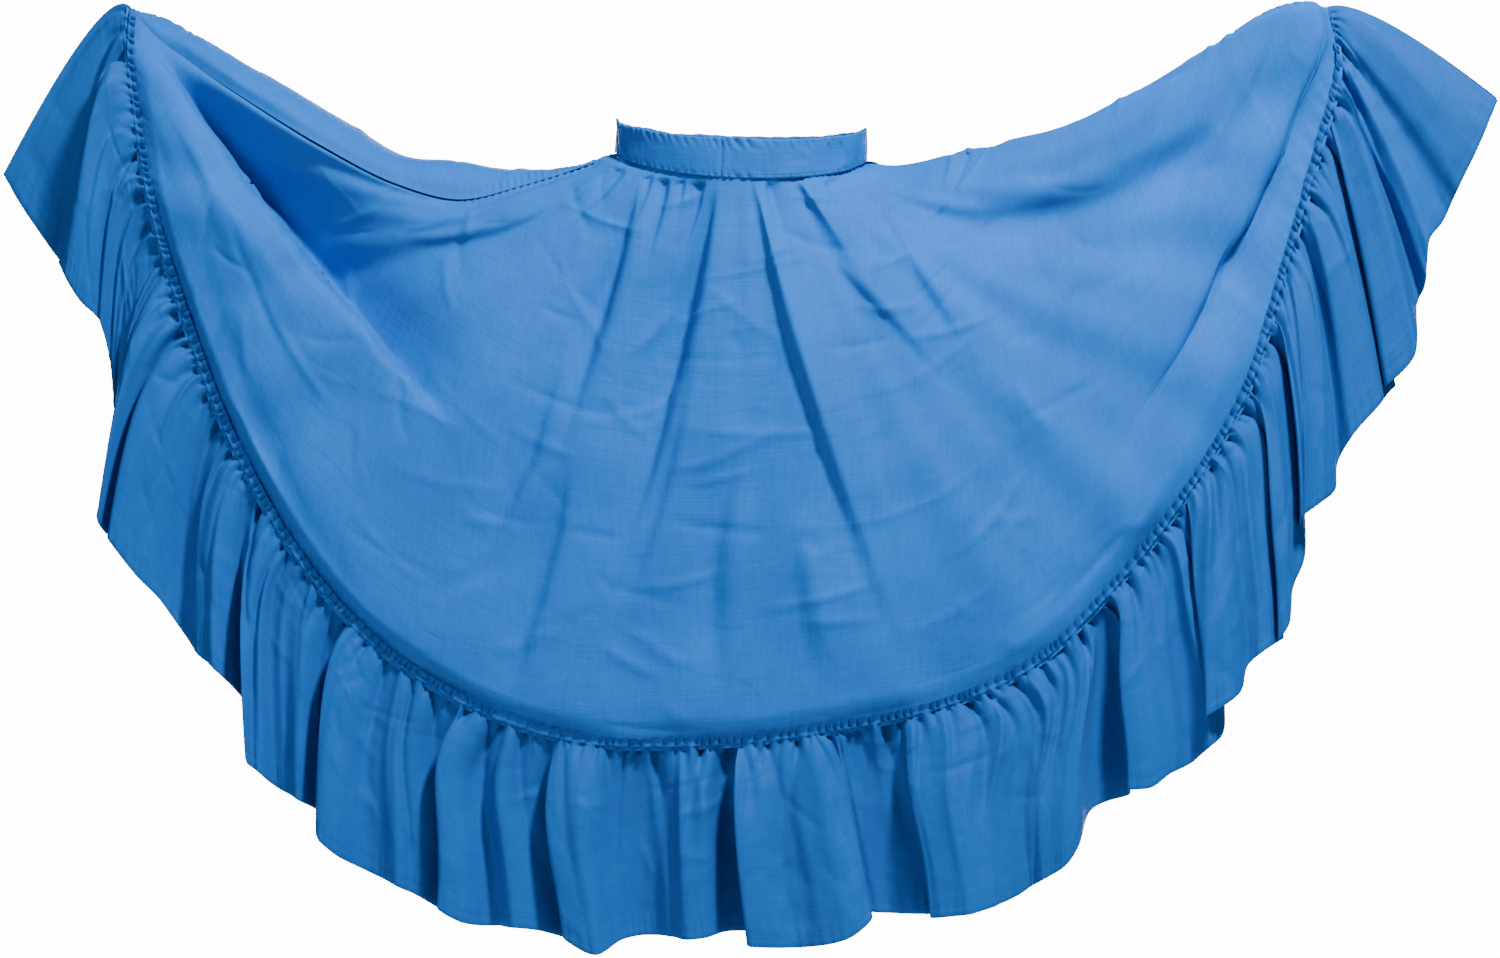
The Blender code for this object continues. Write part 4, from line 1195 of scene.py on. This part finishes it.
def sew(name, line, sewing, cloth):
    """Sews one run of stitches along a line of points and returns them as a plain mesh."""
    data = bpy.data.meshes.new(name)
    data.from_pydata(line.tolist(), [(k, k + 1) for k in range(len(line) - 1)], [])
    run = bpy.data.objects.new(name, data)
    bpy.context.scene.collection.objects.link(run)
    thread = bpy.data.materials.get("sewing_thread") or thread_material("sewing_thread", cloth)
    group = bpy.data.node_groups.get("stitches") or stitch_tree(thread)
    modifier = run.modifiers.new("Stitches", "NODES")
    modifier.node_group = group
    sizes = {"Pitch": sewing.stitch_pitch, "Length": sewing.stitch_length, "Radius": sewing.thread_radius}
    for item in group.interface.items_tree:
        if item.in_out == "INPUT" and item.name in sizes:
            modifier[item.identifier] = sizes[item.name]
    plain_mesh(run)
    if not run.data.polygons:
        raise RuntimeError(name + " came out with no stitches")
    dress(run, None, thread)
    return run


def dress(piece, node, material):
    piece.data.materials.clear()
    piece.data.materials.append(material)
    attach(piece, "root")
    if node:
        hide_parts(node)


class SKIRT_OT_waistband(bpy.types.Operator):
    """Makes the doubled band that closes round the waist"""
    bl_idname = "skirt.waistband"
    bl_label = "Waistband"

    def execute(self, context):
        columns, steps = 480, 18
        across = np.linspace(0, 1, columns + 1)
        lap = math.radians(BAND_OVERLAP_ANGLE)
        angle = math.radians(BAND_CLOSING_ANGLE) + across * (2 * math.pi + lap)
        ease = np.clip((BAND_LAP_END_SHARE - across) / BAND_LAP_EASE_SHARE, 0, 1)
        lapped = SEAM_GAP + (BAND_THICKNESS + SEAM_GAP) * ease * ease * (3 - 2 * ease)
        x, y, bottom = waist_point(angle, lapped)
        height = BAND_SIDE_HEIGHT + (BAND_HEIGHT - BAND_SIDE_HEIGHT) * np.abs(np.cos(angle))
        height = height + BAND_CORNER_RISE * np.exp(-across / BAND_CORNER_SHARE)
        round_place = across * 0.86
        levels = np.linspace(1, 0, steps + 1)[:, None]
        normal = np.stack([np.sin(angle), -np.cos(angle), np.zeros_like(angle)], axis=-1)
        wobble = rough_field(61, round_place, 0 * round_place, 8, (0.02, 0.09))
        grid = np.stack(np.broadcast_arrays(x, y, bottom + height * levels), axis=-1).copy()
        top_edge = np.exp(-((1 - levels) / 0.10) ** 2)
        grid[..., 2] += 0.0009 * wobble * top_edge
        flat = np.broadcast_to(round_place, grid.shape[:2])
        up = np.broadcast_to(levels * BAND_HEIGHT, grid.shape[:2])
        creases = random_creases(62, 60, (0, 0.86, 0.0, 0.046), (0.012, 0.03), (0.0016, 0.003), (0.0003, 0.0008),
                                 (-1.3, 1.3))
        small = crease_field(creases, flat, up)
        groove = -0.0006 * np.exp(-((up - 0.0038) / 0.0011) ** 2) - 0.0005 * np.exp(-((up - 0.0425) / 0.001) ** 2)
        slant = np.sin((flat + 0.5 * up) * 2 * np.pi / 0.0095 + 2.5 * wobble) * (1 + 0.5 * wobble)
        puckers = 0.0010 * slant * (np.exp(-((up - 0.043) / 0.007) ** 2) + 0.6 * np.exp(-((up - 0.002) / 0.005) ** 2))
        fold = -0.0014 * np.exp(-((flat - 0.190 - 0.05 * up) / 0.0014) ** 2)
        fold = fold + 0.0008 * np.exp(-((flat - 0.194 - 0.05 * up) / 0.0026) ** 2)
        for start, slope, deep in ((0.012, -0.45, 0.0016), (0.030, -0.60, 0.0014), (0.052, -0.8, 0.0008)):
            fold = fold - deep * np.exp(-((flat - start - slope * (up - 0.018)) / 0.0028) ** 2)
        belly = 0.0008 * rough_field(63, flat, up, 7, (0.03, 0.12))
        grid += normal * (small + groove + puckers + fold + belly + 0.0008)[..., None]
        uv = np.stack([flat, up], axis=-1)
        band = cloth_sheet("waistband_cloth", list(grid), list(uv), False)
        add_wall(band, BAND_THICKNESS, True)
        plain_mesh(band)
        material = cloth_material("waistband_weave", context.scene.skirt_cloth, 1.0)
        dress(band, "waistband", material)
        shown = grid[:, : int(columns * BAND_STITCH_SHARE)]
        line = line_beside(shown, len(shown) + BAND_STITCH_ROW, BAND_THICKNESS + 0.0001, -1.0)
        stitches = sew("waistband_stitches", line, context.scene.skirt_sewing, context.scene.skirt_cloth)
        return {"FINISHED"}


class SKIRT_OT_panels(bpy.types.Operator):
    """Makes the two half-circle panels"""
    bl_idname = "skirt.panels"
    bl_label = "Panels"

    def execute(self, context):
        # The back panel's dye is darkened to 0.96 of the cloth colour: painted shade.
        for front, painted_shade_factor in ((True, 1.0), (False, 0.96)):
            rows, uv = panel_rows(front)
            name = "front_panel" if front else "back_panel"
            panel = cloth_sheet(name + "_cloth", list(rows), list(uv), not front)
            material = cloth_material(name + "_weave", context.scene.skirt_cloth, painted_shade_factor)
            dress(panel, name, material)
        return {"FINISHED"}


class SKIRT_OT_ruffles(bpy.types.Operator):
    """Makes the two gathered lengths of ruffle with their turned hems"""
    bl_idname = "skirt.ruffles"
    bl_label = "Ruffles"

    def execute(self, context):
        cloth, sewing = context.scene.skirt_cloth, context.scene.skirt_sewing
        # The ruffles' dye is darkened to 0.74 of the cloth colour: painted shade, where the ruffles fall darker under
        # the light than the panels.
        material = cloth_material("ruffle_weave", cloth, 0.74)
        for front in (True, False):
            rows, uv = ruffle_rows(front, sewing)
            name = "ruffle_front" if front else "ruffle_back"
            ruffle = cloth_sheet(name + "_cloth", rows, uv, not front)
            dress(ruffle, name, material)
            outward = -1.0 if front else 1.0
            hem = line_beside(rows, HEM_STITCH_ROW, sewing.thread_radius / 2, outward)
            gathered = line_beside(rows, len(HEADING_HEIGHTS), sewing.thread_radius / 2, outward)
            side = "front" if front else "back"
            runs = [sew("hem_stitches_" + side, hem, sewing, cloth),
                    sew("gathering_stitches_" + side, gathered, sewing, cloth)]
        return {"FINISHED"}


class SKIRT_OT_studio(bpy.types.Operator):
    """Sets the pale floor, the soft lights and the camera"""
    bl_idname = "skirt.studio"
    bl_label = "Studio"

    def execute(self, context):
        studio = context.scene.skirt_studio
        self.sheet(context, "floor", ((-2.5, -3.0, -1.04), (2.5, -3.0, -1.04), (2.5, 0.9, -1.04), (-2.5, 0.9, -1.04)), 0.0)
        self.sheet(context, "backdrop", ((-4.0, 7.0, -2.6), (4.0, 7.0, -2.6), (4.0, 7.0, 2.6), (-4.0, 7.0, 2.6)),
                   studio.backdrop)
        world = bpy.data.worlds.new("white_surround")
        context.scene.world = world
        world.use_nodes = True
        world.node_tree.nodes["Background"].inputs[0].default_value = (1.0, 1.0, 1.0, 1.0)
        world.node_tree.nodes["Background"].inputs[1].default_value = studio.surround
        self.light(context, "main_light", (1.35, -1.9, 2.9), (0.0, 0.0, -0.20), 0.6, studio.key_power)
        self.light(context, "fill_light", (-2.8, -3.0, 1.7), (-0.2, 0.0, -0.3), 1.0, studio.fill_power)
        lens = bpy.data.cameras.new("camera")
        lens.sensor_width = 36.0
        lens.lens = 36.0 * 5.5 / (1500 / 850)
        lens.clip_end = 60.0
        camera = bpy.data.objects.new("camera", lens)
        camera.location = (0.0094, -5.5, -0.381)
        camera.rotation_euler = (math.pi / 2, 0.0, 0.0)
        context.scene.collection.objects.link(camera)
        context.scene.camera = camera
        return {"FINISHED"}

    def sheet(self, context, name, corners, glow):
        data = bpy.data.meshes.new(name)
        data.from_pydata(corners, [], [(0, 1, 2, 3)])
        paper = bpy.data.materials.new(name + "_paper")
        paper.use_nodes = True
        shader = paper.node_tree.nodes["Principled BSDF"]
        shader.inputs["Base Color"].default_value = (0.50, 0.50, 0.50, 1.0)
        shader.inputs["Roughness"].default_value = 0.9
        shader.inputs["Emission Color"].default_value = (1.0, 1.0, 1.0, 1.0)
        shader.inputs["Emission Strength"].default_value = glow
        data.materials.append(paper)
        thing = bpy.data.objects.new(name, data)
        context.scene.collection.objects.link(thing)

    def light(self, context, name, place, target, size, power):
        lamp = bpy.data.lights.new(name, "AREA")
        lamp.shape = "DISK"
        lamp.size = size
        lamp.energy = power
        thing = bpy.data.objects.new(name, lamp)
        thing.location = place
        thing.rotation_euler = (Vector(target) - Vector(place)).to_track_quat("-Z", "Y").to_euler()
        context.scene.collection.objects.link(thing)


OPERATORS = (SKIRT_OT_waistband, SKIRT_OT_panels, SKIRT_OT_ruffles, SKIRT_OT_studio)


class SKIRT_PT_sidebar(bpy.types.Panel):
    bl_idname = "SKIRT_PT_sidebar"
    bl_label = "Dance skirt"
    bl_space_type = "VIEW_3D"
    bl_region_type = "UI"
    bl_category = "Skirt"

    def draw(self, context):
        for group in (context.scene.skirt_cloth, context.scene.skirt_sewing, context.scene.skirt_studio):
            for name in group.bl_rna.properties.keys():
                if name not in ("rna_type", "name"):
                    self.layout.prop(group, name)
        for operator in OPERATORS:
            self.layout.operator(operator.bl_idname)


GROUPS = (SkirtCloth, SkirtSewing, SkirtStudio)


def register():
    for kind in GROUPS + OPERATORS + (SKIRT_PT_sidebar,):
        bpy.utils.register_class(kind)
    bpy.types.Scene.skirt_cloth = bpy.props.PointerProperty(type=SkirtCloth)
    bpy.types.Scene.skirt_sewing = bpy.props.PointerProperty(type=SkirtSewing)
    bpy.types.Scene.skirt_studio = bpy.props.PointerProperty(type=SkirtStudio)


def unregister():
    for name in ("skirt_cloth", "skirt_sewing", "skirt_studio"):
        delattr(bpy.types.Scene, name)
    for kind in reversed(GROUPS + OPERATORS + (SKIRT_PT_sidebar,)):
        bpy.utils.unregister_class(kind)


def main():
    register()
    bpy.ops.skirt.waistband()
    bpy.ops.skirt.panels()
    bpy.ops.skirt.ruffles()
    bpy.ops.skirt.studio()


if __name__ == "__main__":
    main()
